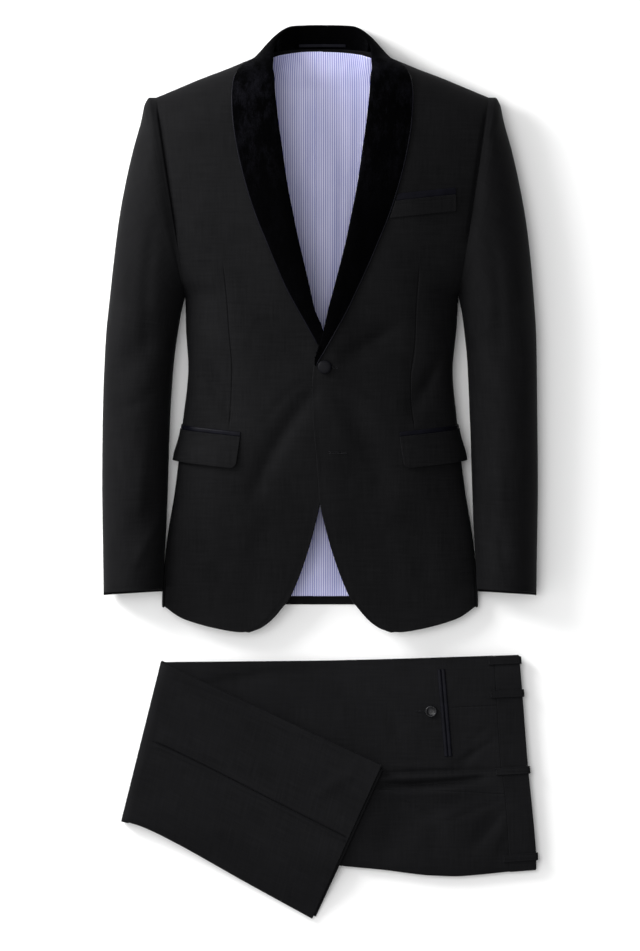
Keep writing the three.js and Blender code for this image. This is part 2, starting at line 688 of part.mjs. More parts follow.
function sleevePoint(side, half, s, t) {
  const at = s * (SLEEVE.length - 1);
  const rows = SLEEVE.map((row, k) => ({ ...row, k }));
  const ring = {};
  for (const name of ["ix", "iy", "ox", "oy", "rise", "roll", "arm"])
    ring[name] = read(rows, "k", name, at);
  const share = (1 - Math.cos(Math.PI * t)) / 2;
  const out = Math.abs(2 * share - 1);
  const armY = mix(UNDERARM.y, SHOULDER_TIP.y, share);
  const armX = armholeX(armY);
  const x = mix(ring.ix, ring.ox, share) + ARMHOLE_SEAM;
  const y = mix(ring.iy, ring.oy, share);
  if (half > 0) {
    const folds = foldsAt(SLEEVE_FOLDS, side * x + lean(y), y) * (1 - out ** 3);
    const round = ring.roll + (ring.rise - ring.roll) * Math.sqrt(1 - out * out) + folds;
    return place(side, x, y, mix(round, frontHeight(armX, armY), ring.arm) + SLEEVE_SEAM / 2);
  }
  const curl = clamp01((out - SLEEVE_FLAT) / (1 - SLEEVE_FLAT));
  const round = ring.roll * (1 - Math.sqrt(1 - curl * curl));
  const z = mix(round, backHeight(armX, armY), ring.arm) - SLEEVE_SEAM / 2;
  return place(side, x, y, Math.max(0, z));
}

// One half of a sleeve. The wall's inside is offset in the plane of each section.
function sleeveHalf(side, half) {
  const rings = even(SLEEVE.length - 1);
  const steps = even(9);
  const nudge = 1e-3;
  const outside = [];
  const inside = [];
  for (const s of rings)
    for (const t of steps) {
      const p = sleevePoint(side, half, s, t);
      const along = sleevePoint(side, half, s, Math.min(1, t + nudge));
      along.sub(sleevePoint(side, half, s, Math.max(0, t - nudge)));
      const chord = sleevePoint(side, half, s, 1).sub(sleevePoint(side, half, s, 0));
      chord.z = 0;
      chord.normalize();
      const run = t === 0 || t === 1 ? 0 : along.dot(chord);
      const inward = chord
        .clone()
        .multiplyScalar(half * along.z)
        .add(new THREE.Vector3(0, 0, -half * run))
        .normalize();
      outside.push(p);
      inside.push(p.clone().addScaledVector(inward, SLEEVE_CLOTH));
    }
  return closed([...outside, ...inside], steps.length, rings.length);
}

for (const { name, side } of SIDES) {
  add(`sleeve_${name}_top`, sleeveHalf(side, 1), "wool");
  add(`sleeve_${name}_under`, sleeveHalf(side, -1), "wool");
}

// Shawl collar

// A point on the front, moved out along the cloth's normal.
function onFront(side, x, y, out) {
  const step = 0.5;
  const at = (px, py) => chestHeight(side, px, py);
  const normal = new THREE.Vector3(
    (-side * (at(x + step, y) - at(x - step, y))) / (2 * step),
    -(at(x, y + step) - at(x, y - step)) / (2 * step),
    1,
  ).normalize();
  return place(side, x, y, at(x, y) + SEAM / 2).addScaledVector(normal, out);
}

function shawlSections(side) {
  const points = side < 0 ? SHAWL_POINT.left : SHAWL_POINT.right;
  const chest = [...points, ...SHAWL_CHEST].map(({ y, roll, edge }) => (t) => {
    const open = clamp01((y - LAPEL_PUFF.from) / LAPEL_PUFF.over);
    const puff = LAPEL_PUFF.most * 2.6 * Math.sqrt(t) * (1 - t) * open;
    return onFront(side, mix(roll, edge, t), y, LAPEL_GAP + VELVET + puff);
  });
  const neck = SHAWL_NECK.map((row) => {
    const [a, b, c, d] = ["roll", "over", "round", "edge"].map((k) => {
      const [x, y, z] = row[k];
      return place(side, x, y, z);
    });
    return (t) => new THREE.CubicBezierCurve3(a, b, c, d).getPoint(t);
  });
  return [...chest, ...neck];
}

function shawlSurface(side) {
  const sections = shawlSections(side);
  const kept = new Map();
  const curveAt = (t) => new THREE.CatmullRomCurve3(sections.map((f) => f(t)), false, "centripetal");
  return (t, s) => {
    if (!kept.has(t)) kept.set(t, curveAt(t));
    return kept.get(t).getPoint(s);
  };
}

for (const { name, side } of SIDES) {
  const surface = shawlSurface(side);
  const count = shawlSections(side).length - 1;
  const shoulder = (count - SHAWL_NECK.length) / count;
  const rows = even(Math.round(count * 1.5));
  add(`shawl_${name}`, wall(surface, [0, 0.12, 0.3, 0.5, 0.72, 0.88, 1], rows, -VELVET, 0, side), "velvet");
  const piping = (u, v) => {
    const end = surface(1, v);
    const way = end.clone().sub(surface(0.96, v)).normalize();
    return end.addScaledVector(way, SEAM + PIPING_WIDTH * u);
  };
  const round = (u) => 0.25 - 1.1 * (2 * u - 1) ** 2;
  const start = side < 0 ? 0.12 : 0;
  const along = rows.map((v) => mix(start, shoulder, v));
  add(`piping_${name}`, wall(piping, [0, 0.5, 1], along, -VELVET + 0.5, round, side), "satin");
}

// Collar stand and hanger loop

const standRows = STAND.map((row, k) => ({
  k,
  lx: row.low[0],
  ly: row.low[1],
  lz: row.low[2],
  hx: row.high[0],
  hy: row.high[1],
  hz: row.high[2],
}));
function standSurface(u, v) {
  const at = Math.abs(2 * u - 1) * (STAND.length - 1);
  const side = u < 0.5 ? -1 : 1;
  const get = (name) => read(standRows, "k", name, at);
  const [x, y, z] = ["x", "y", "z"].map((axis) => mix(get(`l${axis}`), get(`h${axis}`), v));
  return place(side, x, y, z);
}
add("collar_stand", wall(standSurface, even(16), [0, 0.5, 1], -STAND_CLOTH, 0, 1), "velvet");

const hangerSurface = (u, v) =>
  standSurface(mix(HANGER.from, HANGER.to, u), mix(HANGER.low, HANGER.high, v));
const hangerBow = (u) => HANGER.off + HANGER.bow * (1 - (2 * u - 1) ** 4);
const hangerTop = (u) => hangerBow(u) + HANGER.thick;
add("hanger_loop", wall(hangerSurface, even(8), [0, 1], hangerBow, hangerTop, 1), "satin");

// Back lining, with the pleat at its centre, and the turned-up hem

function liningSurface(side) {
  const back = backPanel(1);
  return (u, v) => {
    const p = back(u, v);
    const lapped = p.x - lean(p.y) - (side > 0 ? LINING_FORM.pleat : 0) * (1 - u) ** 3;
    return place(side, lapped, p.y, p.z);
  };
}
const LINING_COLUMNS = [...closing(7, 1.5).slice(0, -1), LINING_FORM.side];
const LINING_ROWS = [
  LINING_FORM.hem,
  ...BACK_ROWS.filter((v) => v > LINING_FORM.hem && v < 1),
  LINING_FORM.top,
];
for (const { name, side } of SIDES) {
  const pleat = (u) => (side > 0 ? (LINING + 0.9) * (1 - smooth((u - 0.06) / 0.16)) : 0);
  const neckGap = (v) => LINING_FORM.neck * smooth((v - 0.88) / 0.07);
  const near = (u, v) => -(CLOTH + LAYER_GAP + pleat(u) + neckGap(v));
  const far = (u, v) => near(u, v) - LINING;
  const surface = liningSurface(side);
  add(`lining_${name}`, wall(surface, LINING_COLUMNS, LINING_ROWS, near, far, -side), "lining");
}
function hemSurface(u, v) {
  const x = mix(-HEM_TURN.half, HEM_TURN.half, u);
  return place(1, x, HEM_Y + mix(HEM_TURN.from, HEM_TURN.to, v), CLOTH + SEAM);
}
add("hem_turn", wall(hemSurface, even(4), [0, 1], 0, HEM_TURN.thick, 1), "wool");

// Hip pockets: jet and flap, which follow the body round its side

function girthWalk(y, fromX) {
  const steps = 160;
  const start = girthOfFront(fromX, y);
  const track = [{ far: 0, g: start }];
  for (let i = 1; i <= steps; i += 1) {
    const g = start - (i / steps) * (start + 2.2);
    const before = girthPoint(1, track[i - 1].g, y);
    track.push({ far: track[i - 1].far + girthPoint(1, g, y).distanceTo(before), g });
  }
  return (far) => read(track, "far", "g", far);
}
for (const { name, side } of SIDES) {
  const walk = girthWalk(FLAP.y, FLAP.across);
  const onBody = (far, down) => girthPoint(side, walk(far), FLAP.y + FLAP.rise * far - down);
  const flap = (u, v) => {
    const down = v * FLAP.drop;
    const past = Math.max(0, down - (FLAP.drop - FLAP.corner));
    const cut = FLAP.corner - Math.sqrt(FLAP.corner ** 2 - past ** 2);
    return onBody(mix(cut + FLAP.slant * down, FLAP.length, u), down);
  };
  const hang = (u, v) => ON_CLOTH + FLAP.swing * smooth(v) * (0.35 + 0.65 * u);
  const outside = (u, v) => hang(u, v) + FLAP.thick;
  const rows = [0, 0.25, 0.5, 0.75, 0.86, 0.94, 1];
  add(`flap_${name}`, wall(flap, even(14), rows, hang, outside, -side), "wool");
  const jet = (u, v) =>
    onBody(mix(-JET.before, FLAP.length, u), -JET.above - JET.height * (1 - v));
  add(`jet_${name}`, wall(jet, even(14), [0, 1], ON_CLOTH, ON_CLOTH + SATIN, -side), "satin");
}

// Breast pocket, on the right as seen from above

const chestAt = (x, y) => place(1, x, y, chestHeight(1, x, y) + SEAM / 2);
const lapelEdge = (y) => read(SHAWL_CHEST, "y", "edge", y) + SEAM + PIPING_WIDTH + 0.9;
function breast(low, high) {
  return (u, v) => {
    const base = BREAST.low + mix(low, high, v);
    const start = lapelEdge(base + 2);
    const x = mix(start, BREAST.right, u);
    return chestAt(x, base + BREAST.rise * (x - BREAST.left));
  };
}
{
  const welt = breast(0, BREAST.height);
  const jet = breast(BREAST.height + 0.5, BREAST.height + 0.5 + BREAST.jet);
  add("breast_welt", wall(welt, even(6), even(2), ON_CLOTH, ON_CLOTH + BREAST.thick, 1), "wool");
  add("breast_jet", wall(jet, even(6), [0, 1], ON_CLOTH, ON_CLOTH + SATIN, 1), "satin");
}

// Covered button

function button({ radius, thick }, rim) {
  const profile = [
    [0, 0],
    [radius * 0.8, 0],
    [radius, thick * 0.35],
    [radius * 0.96, thick * 0.7],
    [radius * 0.8, thick * rim],
    [radius * 0.45, thick * (rim > 0.95 ? 0.7 : 1)],
    [0, thick * (rim > 0.95 ? 0.66 : 1.06)],
  ];
  const geometry = new THREE.LatheGeometry(
    profile.map(([r, z]) => new THREE.Vector2(r, z)),
    28,
  );
  return geometry.rotateX(Math.PI / 2);
}
{
  const geometry = button(BUTTON, 0.92);
  const top = chestAt(BUTTON.x, BUTTON.y);
  geometry.translate(top.x, top.y, top.z + 1.2);
  add("button_front", geometry, "satin");
}

// Trousers: the seat, folded flat, with the waistband to the right

const between = (a, b) => (t) => [mix(a[0], b[0], t), mix(a[1], b[1], t)];
const inset = ([x, y]) => [x + FOLD_INSET, y];
const waistSeam = through(WAIST_SEAM);
const waistEdge = through(WAIST_EDGE);
const edgeAt = (table, from, to) => (t) => {
  const x = mix(from, to, t);
  return [x, read(table, "x", "y", x)];
};
const seatPlan = patch({
  low: edgeAt(SEAT_LOW_EDGE, inset(FOLD_LOW)[0], waistSeam(0)[0] - LAYER_GAP),
  top: edgeAt(SEAT_TOP_EDGE, inset(FOLD_TOP)[0], waistSeam(1)[0] - LAYER_GAP),
  inner: between(inset(FOLD_LOW), inset(FOLD_TOP)),
  outer: (t) => [waistSeam(t)[0] - LAYER_GAP, waistSeam(t)[1]],
});
const bandPlan = patch({
  low: between(waistSeam(0), waistEdge(0)),
  top: between(waistSeam(1), waistEdge(1)),
  inner: waistSeam,
  outer: waistEdge,
});

const section = (across, power) => (1 - Math.min(1, Math.abs(across)) ** power) ** (1 / power);
// Height of the seat's top layer. across runs from -1 at the front fold to 1 at the back fold.
function seatHeight(x, y, across) {
  const rise = read(SEAT_RISE, "x", "z", x);
  const layers = LAYER_SHARE * rise;
  const folds = foldsAt(SEAT_FOLDS, x, y);
  const body = section(across, SEAT_EDGE);
  return layers + (rise - layers) * body + folds * body;
}
const seatSurface = (u, v) => {
  const [x, y] = seatPlan(u, v);
  return new THREE.Vector3(x, y, seatHeight(x, y, 2 * v - 1));
};
const bandSurface = (u, v) => {
  const [x, y] = bandPlan(u, v);
  return new THREE.Vector3(x, y, seatHeight(x, y, 2 * v - 1) + 0.4);
};

// Where the side seam crosses the seat, as the share v of its width.
function sideSeamAt(u) {
  let v = 0.5;
  for (let i = 0; i < 6; i += 1) {
    const [x, y] = seatPlan(u, v);
    v += (read(SIDE_LINE, "x", "y", x) - y) / (seatPlan(u, 1)[1] - seatPlan(u, 0)[1]);
  }
  return v;
}
const seatBack = (u, v) => seatSurface(u, mix(sideSeamAt(u) + 0.0006, 1, v));
const seatFront = (u, v) => seatSurface(u, mix(0, sideSeamAt(u) - 0.0006, v));
const SEAT_COLUMNS = [0, 0.14, 0.28, 0.4, 0.5, 0.58, 0.64, 0.7, 0.75, 0.8, 0.85, 0.9, 0.95, 1];
add("trouser_back", wall(seatBack, SEAT_COLUMNS, closing(8, 1.8), -CLOTH, 0, 1), "wool");
add(
  "trouser_front",
  wall(seatFront, SEAT_COLUMNS, closing(9, 1.6).map((t) => 1 - t).reverse(), -CLOTH, 0, 1),
  "wool",
);
add("waistband", wall(bandSurface, [0, 0.5, 1], rounding(14), -WAISTBAND, 0, 1), "wool");

// The layers under the top one share a solid. Its edge is round and set back at the waist.
function layersSolid(us, vs, top, bottom) {
  const points = [];
  for (const surface of [top, bottom])
    for (const v of vs)
      for (const u of us) points.push(surface(u, v));
  return closed(points, us.length, vs.length);
}
const underEdge = (across, layers) => {
  const out = clamp01((Math.abs(across) - 0.95) / 0.05);
  return 0.4 * layers * (1 - Math.sqrt(1 - out * out));
};
const inside = (v, width) => mix(LAYER_INSET / width, 1 - LAYER_INSET / width, v);
// At the fold the seat's layers lie inside the legs, which turn round them.
const foldLift = (far) => {
  const lift = CLOTH + LAYER_GAP + 0.2 + 2.8 * Math.exp(-((far / 4) ** 2));
  return lift * (1 - smooth((far - 11) / 7));
};
{
  const top = (u, v) => {
    const p = seatSurface(u, inside(v, SEAT_WIDTH));
    p.z -= CLOTH + LAYER_DROP;
    return p;
  };
  const bottom = (u, v) => {
    const p = seatSurface(u, inside(v, SEAT_WIDTH));
    const curl = underEdge(2 * v - 1, LAYER_SHARE * read(SEAT_RISE, "x", "z", p.x));
    p.z = Math.max(curl, foldLift(u * (WAIST_SEAM[0][0] - FOLD_LOW[0])));
    return p;
  };
  const columns = [0, 0.012, 0.022, 0.036, ...SEAT_COLUMNS.slice(1)];
  add("seat_layers", layersSolid(columns, rounding(14), top, bottom), "wool");
  const bandTop = (u, v) => {
    const p = bandSurface(mix(0.01, 0.9, u), inside(v, SEAT_WIDTH));
    p.z -= WAISTBAND + LAYER_GAP;
    return p;
  };
  const bandBottom = (u, v) => {
    const p = bandSurface(mix(0.01, 0.9, u), inside(v, SEAT_WIDTH));
    p.z = underEdge(2 * v - 1, LAYER_SHARE * read(SEAT_RISE, "x", "z", p.x));
    return p;
  };
  add("waistband_under", layersSolid([0, 1], rounding(14), bandTop, bandBottom), "wool");
}

// Belt loops, sewn on above and below the waistband
for (const { name, across } of LOOPS) {
  const halfWidth = LOOP.width / 2 / BAND_LENGTH;
  const middle = Math.min(across, 1 - halfWidth * 1.6);
  const loop = (u, v) => {
    const share = middle + (2 * v - 1) * halfWidth;
    const turned = Math.max(0, u - LOOP.bend) / (1 - LOOP.bend);
    const along = mix(-LOOP.before, BAND_WIDTH + LOOP.beyond, Math.min(1, u / LOOP.bend));
    const p = bandSurface(Math.min(1, along / BAND_WIDTH), share);
    p.x += Math.max(0, along - BAND_WIDTH);
    p.z -= turned * LOOP.hang;
    return p;
  };
  const columns = [0, 0.2, 0.4, 0.6, LOOP.bend, 0.8, 0.9, 1];
  const geometry = wall(loop, columns, [0, 1], LOOP.gap, LOOP.gap + LOOP.thick, 1);
  add(`loop_${name}`, geometry, "wool");
}

// Back pocket: two satin welts and a button

// The seat's point above a place in the plan.
function onSeat(x, y) {
  let u = 0.8;
  let v = 0.5;
  for (let i = 0; i < 12; i += 1) {
    const [px, py] = seatPlan(u, v);
    u += (x - px) / SEAT_LENGTH;
    v += (y - py) / SEAT_WIDTH;
  }
  return seatSurface(u, v);
}
["front", "back"].forEach((name, i) => {
  const welt = (u, v) => {
    const y = BACK_POCKET.top - BACK_POCKET.length * (1 - v);
    const start = BACK_POCKET.x + i * (BACK_POCKET.welt + BACK_POCKET.gap);
    return onSeat(start + (BACK_POCKET.top - y) * BACK_POCKET.lean + BACK_POCKET.welt * u, y);
  };
  add(`pocket_welt_${name}`, wall(welt, [0, 1], even(8), 0.5, 0.5 + SATIN, 1), "satin");
});
{
  const geometry = button(POCKET_BUTTON, 1);
  const seat = onSeat(POCKET_BUTTON.x, POCKET_BUTTON.y);
  geometry.translate(seat.x, seat.y, seat.z + 0.8);
  add("button_pocket", geometry, "horn");
}

// The legs, turned back over the seat

const legUpper = between(FOLD_TOP, CUFF_TOP);
const legLower = through(LEG_LOW_EDGE);
// Straight across the leg, but for its lower edge, which bows in a little.
const legPlan = (a, v) => {
  const low = Math.min(1, a);
  const past = a - low;
  return [0, 1].map((k) => {
    const upper = legUpper(a)[k];
    const lower = legLower(low)[k] + past * (legLower(1)[k] - legLower(0)[k]);
    return mix(upper, lower, v);
  });
};
const legLength = Math.hypot(CUFF_TOP[0] - FOLD_TOP[0], CUFF_TOP[1] - FOLD_TOP[1]);
// Height of what the leg lies on: the seat, and past its edge the surface.
function legBed(x, y) {
  const past = read(SEAT_LOW_EDGE, "x", "y", x) - y;
  return (read(SEAT_RISE, "x", "z", x) + LAYER_GAP) * (1 - smooth((past + 5) / LEG_DROP));
}
function legHeight(x, y, v) {
  const bed = legBed(x, y);
  const under = LAYER_SHARE * LEG_RISE;
  return bed + under + (LEG_RISE - under) * section(2 * v - 1, LEG_EDGE);
}
// Along the leg: t below 0 goes down round the fold to the surface.
function legSurface(t, v) {
  const round = FOLD_ROUND / legLength;
  if (t >= 0) {
    const [x, y] = legPlan(mix(round, 1, t), v);
    return new THREE.Vector3(x, y, legHeight(x, y, v));
  }
  const [x, y] = legPlan(round, v);
  const [foldX, foldY] = legPlan(0, v);
  const top = legHeight(x, y, v);
  const angle = (1 + Math.max(-1, t)) * Math.PI;
  const out = Math.abs(Math.sin(angle)) ** 0.8;
  const z = (top / 2) * (1 - Math.sign(Math.cos(angle)) * Math.abs(Math.cos(angle)) ** 0.8);
  return new THREE.Vector3(mix(x, foldX, out), mix(y, foldY, out), z);
}
const ROUND_THE_FOLD = [-1, -0.88, -0.75, -0.62, -0.5, -0.38, -0.25, -0.12];
const ALONG = even(10);
const TO_CREASE = closing(7, 1.8);
const halves = [
  { name: "leg_back", from: OUTSEAM - 0.0008, to: 0 },
  { name: "leg_front", from: OUTSEAM + 0.0008, to: 1 },
];
for (const { name, from, to } of halves) {
  const surface = (t, v) => legSurface(t, mix(from, to, v));
  const facing = from > to ? 1 : -1;
  add(name, wall(surface, [...ROUND_THE_FOLD, ...ALONG], TO_CREASE, -CLOTH, 0, facing), "wool");
}
{
  const start = (FOLD_ROUND + 3) / legLength;
  const at = (t, v, lift) => {
    const across = inside(v, LEG_WIDTH);
    const [x, y] = legPlan(mix(start, 1 + UNDER_LEG / legLength, t), across);
    return new THREE.Vector3(x, y, lift(x, y, across));
  };
  const top = (t, v) => at(t, v, (x, y, across) => legHeight(x, y, across) - CLOTH - LAYER_DROP);
  const bottom = (t, v) => at(t, v, (x, y) => legBed(x, y) + underEdge(2 * v - 1, 4));
  const rows = [
    ...TO_CREASE.map((v) => OUTSEAM * (1 - v)).reverse(),
    ...TO_CREASE.slice(1).map((v) => mix(OUTSEAM, 1, v)),
  ];
  add("leg_layers", layersSolid(ALONG, rows, top, bottom), "wool");
}

export default suit;
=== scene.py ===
import math

import bpy
import numpy as np
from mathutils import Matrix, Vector


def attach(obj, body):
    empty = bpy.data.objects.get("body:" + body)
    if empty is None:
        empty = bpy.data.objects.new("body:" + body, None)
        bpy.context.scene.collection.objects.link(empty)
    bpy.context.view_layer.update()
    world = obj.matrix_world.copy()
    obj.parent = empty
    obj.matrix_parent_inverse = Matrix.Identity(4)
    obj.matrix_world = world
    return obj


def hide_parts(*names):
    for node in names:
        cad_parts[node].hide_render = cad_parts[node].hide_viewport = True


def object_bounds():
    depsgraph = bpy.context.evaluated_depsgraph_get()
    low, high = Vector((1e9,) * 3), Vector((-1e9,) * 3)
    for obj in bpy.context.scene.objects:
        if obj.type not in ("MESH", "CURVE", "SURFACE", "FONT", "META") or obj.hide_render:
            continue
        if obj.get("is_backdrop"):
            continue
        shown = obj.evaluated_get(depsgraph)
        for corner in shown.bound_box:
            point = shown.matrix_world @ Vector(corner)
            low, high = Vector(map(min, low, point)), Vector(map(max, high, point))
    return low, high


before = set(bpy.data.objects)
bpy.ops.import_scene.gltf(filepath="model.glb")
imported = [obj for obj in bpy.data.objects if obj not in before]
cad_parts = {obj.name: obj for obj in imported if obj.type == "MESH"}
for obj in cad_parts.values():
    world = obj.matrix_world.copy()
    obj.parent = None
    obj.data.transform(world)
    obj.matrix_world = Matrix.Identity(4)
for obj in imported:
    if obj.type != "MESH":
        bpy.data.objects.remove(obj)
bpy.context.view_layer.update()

# The camera looks straight down on the suit, from far enough away that the raised chest
# doesn't look larger than the hem.
PICTURE_LONG_SIDE = 1.284
CAMERA_HEIGHT = 12.0
SENSOR = 36.0
camera_data = bpy.data.cameras.new("camera")
camera_data.sensor_width = SENSOR
camera_data.lens = SENSOR * CAMERA_HEIGHT / PICTURE_LONG_SIDE
camera_data.clip_end = 60.0
camera = bpy.data.objects.new("camera", camera_data)
camera.location = (0, -0.0047, CAMERA_HEIGHT)
bpy.context.scene.collection.objects.link(camera)
bpy.context.scene.camera = camera

# The floor is a seamless sheet of white studio paper. One soft box hangs above it, and a low one
# stands near the suit, at its upper left.
PAPER_HALF = 9.0


def shader_of(name, colour, roughness, specular):
    finish = bpy.data.materials.new(name)
    finish.use_nodes = True
    shader = finish.node_tree.nodes["Principled BSDF"]
    shader.inputs["Base Color"].default_value = (*colour, 1)
    shader.inputs["Roughness"].default_value = roughness
    shader.inputs["Specular IOR Level"].default_value = specular
    return finish, shader


paper_mesh = bpy.data.meshes.new("paper")
paper_corners = [(-1, -1), (1, -1), (1, 1), (-1, 1)]
paper_mesh.from_pydata([(x * PAPER_HALF, y * PAPER_HALF, 0) for x, y in paper_corners], [], [(0, 1, 2, 3)])
paper = bpy.data.objects.new("paper", paper_mesh)
bpy.context.scene.collection.objects.link(paper)
paper_finish, paper_shader = shader_of("studio_paper", (0.9, 0.9, 0.9), 0.9, 0.1)
paper_mesh.materials.append(paper_finish)
paper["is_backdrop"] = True

SOFT_BOXES = [
    {"name": "ceiling_box", "at": (-0.6, 0.3, 4.2), "size": (1.5, 1.8), "watts": 64},
    {"name": "left_box", "at": (-1.7, 1.15, 0.85), "size": (0.7, 2.0), "watts": 78},
]
for box in SOFT_BOXES:
    light = bpy.data.lights.new(box["name"], "AREA")
    light.shape = "RECTANGLE"
    light.size, light.size_y = box["size"]
    light.energy = box["watts"]
    lamp = bpy.data.objects.new(box["name"], light)
    lamp.location = box["at"]
    lamp.rotation_euler = (-Vector(box["at"])).to_track_quat("-Z", "Y").to_euler()
    lamp.visible_camera = False
    bpy.context.scene.collection.objects.link(lamp)
# The studio is bright at the left and falls off to the right.
STUDIO = {"strength": 1.8, "left": 0.8, "above": 0.4, "right": 0.04}


def node_in(tree, kind, inputs=None, **settings):
    """One node of a tree, with its settings and its inputs, by name or number: values or sockets."""
    made = tree.nodes.new(kind)
    for key, value in settings.items():
        setattr(made, key, value)
    for key, value in (inputs or {}).items():
        if isinstance(value, bpy.types.NodeSocket):
            tree.links.new(value, made.inputs[key])
        else:
            made.inputs[key].default_value = value
    return made


studio = bpy.data.worlds.new("studio")
studio.use_nodes = True
room = studio.node_tree
direction = node_in(room, "ShaderNodeTexCoord")
split = node_in(room, "ShaderNodeSeparateXYZ", {0: direction.outputs["Generated"]})
across_room = node_in(room, "ShaderNodeMapRange", {"Value": split.outputs["X"], "From Min": -1.0})
walls = node_in(room, "ShaderNodeValToRGB", {"Fac": across_room.outputs[0]})
walls.color_ramp.interpolation = "EASE"
walls.color_ramp.elements.new(0.5)
for element, part in zip(walls.color_ramp.elements, ("left", "above", "right")):
    element.color = (STUDIO[part], STUDIO[part], STUDIO[part], 1)
room.links.new(walls.outputs["Color"], room.nodes["Background"].inputs["Color"])
room.nodes["Background"].inputs["Strength"].default_value = STUDIO["strength"]
bpy.context.scene.world = studio
bpy.context.scene.view_settings.view_transform = "Standard"

# Jacket back: two panels of black worsted wool, sewn at the centre and to the side panels. They
# lie flat on the surface and curl up to the shoulder seam and the back of the neck.
# Pattern sizes are in millimetres, and a finished mesh is in metres.
MM = 0.001
CLOTH = 2.2
SEAM = 0.3
SHOULDER_SEAM = 0.9
HEM_Y = -178
UNDERARM = (184, 236)
SHOULDER_TIP = (223.3, 504.5)
DOME = 2.2
FRONT_ROUND = 70
BACK_ROUND = 44
BACK_RISE = 2.3
COLLAR_BED = 3.3
LEAN = 3.2
CREASE_FADE = 0.75
BODY = {
    "y": [-216, -178, -103, -22, 69, 138, 192, 236, 260, 290, 343, 389, 440, 505, 600],
    "half": [212, 213, 207.5, 195, 184.5, 178, 182, 184, 205, 222, 238, 247, 254, 262, 264],
    "rise": [40, 45, 62, 84, 97, 99, 105, 111, 114, 117, 119, 118, 113, 107, 104],
    "roll": [17, 18, 23, 28, 32, 33, 33, 32, 31, 31, 30, 30, 30, 30, 30],
}
NECK_AND_SHOULDER = {
    "x": [0, 24, 45, 58, 66, 78, 94, 130, 161, 200, 223.3, 262],
    "y": [571, 570.6, 569.3, 567.6, 565.6, 561.6, 556, 541.5, 530, 514, 504.5, 489],
    "z": [10, 11, 16, 25, 36, 43, 46, 42, 38, 33, 30, 28],
}
BACK_SEAM = [(172, -178), (160, -80), (150, 0), (141, 69), (134, 138), (138, 192), (148, 220)]
BACK_SEAM += [(163, 240), (178, 254), (187.8, 262)]
BACK_CREASES = [
    ((-30, 330), (-70, 300), (-120, 296), -1.2, 9),
    ((24, 180), (74, 170), (128, 150), -1.5, 8),
    ((-16, 96), (-66, 112), (-126, 100), -1.3, 9),
    ((40, -30), (90, -46), (150, -40), -1.1, 10),
]


def mix(a, b, t):
    return a + (b - a) * t


def smooth(t):
    t = np.clip(t, 0, 1)
    return t * t * (3 - 2 * t)


def hump(far, wide):
    return np.exp(-((far / wide) ** 2))


def unit(vectors):
    return vectors / np.maximum(np.linalg.norm(vectors, axis=-1, keepdims=True), 1e-9)


def walked(points, axis):
    """How far each point of a grid is along its own line, from where the line starts."""
    far = np.cumsum(np.linalg.norm(np.diff(points, axis=axis), axis=-1), axis=axis)
    return np.concatenate([np.zeros_like(far.take([0], axis)), far], axis=axis)


def upright(half):
    """Shares from 0 to 1, closer at both ends, for rows across a rounded edge."""
    return (1 - np.cos(np.pi * half)) / 2


def read(table, along, name, at):
    """A smooth value from a table: a monotone cubic through one column, along another."""
    place, value = np.array(table[along], float), np.array(table[name], float)
    if place[0] > place[-1]:
        place, value = place[::-1], value[::-1]
    slope = np.diff(value) / np.diff(place)
    before, after = slope[:-1], slope[1:]
    total = np.where(before * after > 0, before + after, 1)
    inner = np.where(before * after > 0, 2 * before * after / total, 0)
    tangent = np.concatenate([slope[:1], inner, slope[-1:]])
    i = np.clip(np.searchsorted(place, at, side="right") - 1, 0, len(place) - 2)
    step = place[i + 1] - place[i]
    t = np.clip((at - place[i]) / step, 0, 1)
    bend = step * (tangent[i] * t * (1 - t) ** 2 - tangent[i + 1] * t * t * (1 - t))
    return mix(value[i], value[i + 1], t * t * (3 - 2 * t)) + bend


def spline(points, t):
    """A centripetal Catmull-Rom curve through points, in any number of dimensions."""
    p = np.asarray(points, float)
    p = np.concatenate([[2 * p[0] - p[1]], p, [2 * p[-1] - p[-2]]])
    at = np.clip(t, 0, 1) * (len(p) - 3)
    i = np.minimum(at.astype(int), len(p) - 4)
    w = (at - i)[..., None]
    p0, p1, p2, p3 = (p[i + k] for k in range(4))
    steps = (p1 - p0, p2 - p1, p3 - p2)
    root = [np.maximum(np.linalg.norm(step, axis=-1, keepdims=True), 1e-6) ** 0.5 for step in steps]
    t1 = ((p1 - p0) / root[0] - (p2 - p0) / (root[0] + root[1]) + (p2 - p1) / root[1]) * root[1]
    t2 = ((p2 - p1) / root[1] - (p3 - p1) / (root[1] + root[2]) + (p3 - p2) / root[2]) * root[1]
    return p1 + w * (t1 + w * (3 * (p2 - p1) - 2 * t1 - t2 + w * (2 * (p1 - p2) + t1 + t2)))


def through(points):
    """The same curve by share of its length."""
    fine = spline(points, np.linspace(0, 1, 80 * (len(points) - 1) + 1))
    way = np.concatenate([[0], np.cumsum(np.linalg.norm(np.diff(fine, axis=0), axis=1))])
    return lambda t: np.stack([np.interp(t, way / way[-1], column) for column in fine.T], axis=-1)


def patch(low, top, inner, outer):
    """A patch in the plan between four curves: low and top run across, inner and outer run up."""

    def at(u, v):
        across, up = u[..., None], v[..., None]
        corners = mix(
            mix(inner(np.float64(0)), outer(np.float64(0)), across),
            mix(inner(np.float64(1)), outer(np.float64(1)), across),
            up,
        )
        return mix(low(u), top(u), up) + mix(inner(v), outer(v), across) - corners

    return at


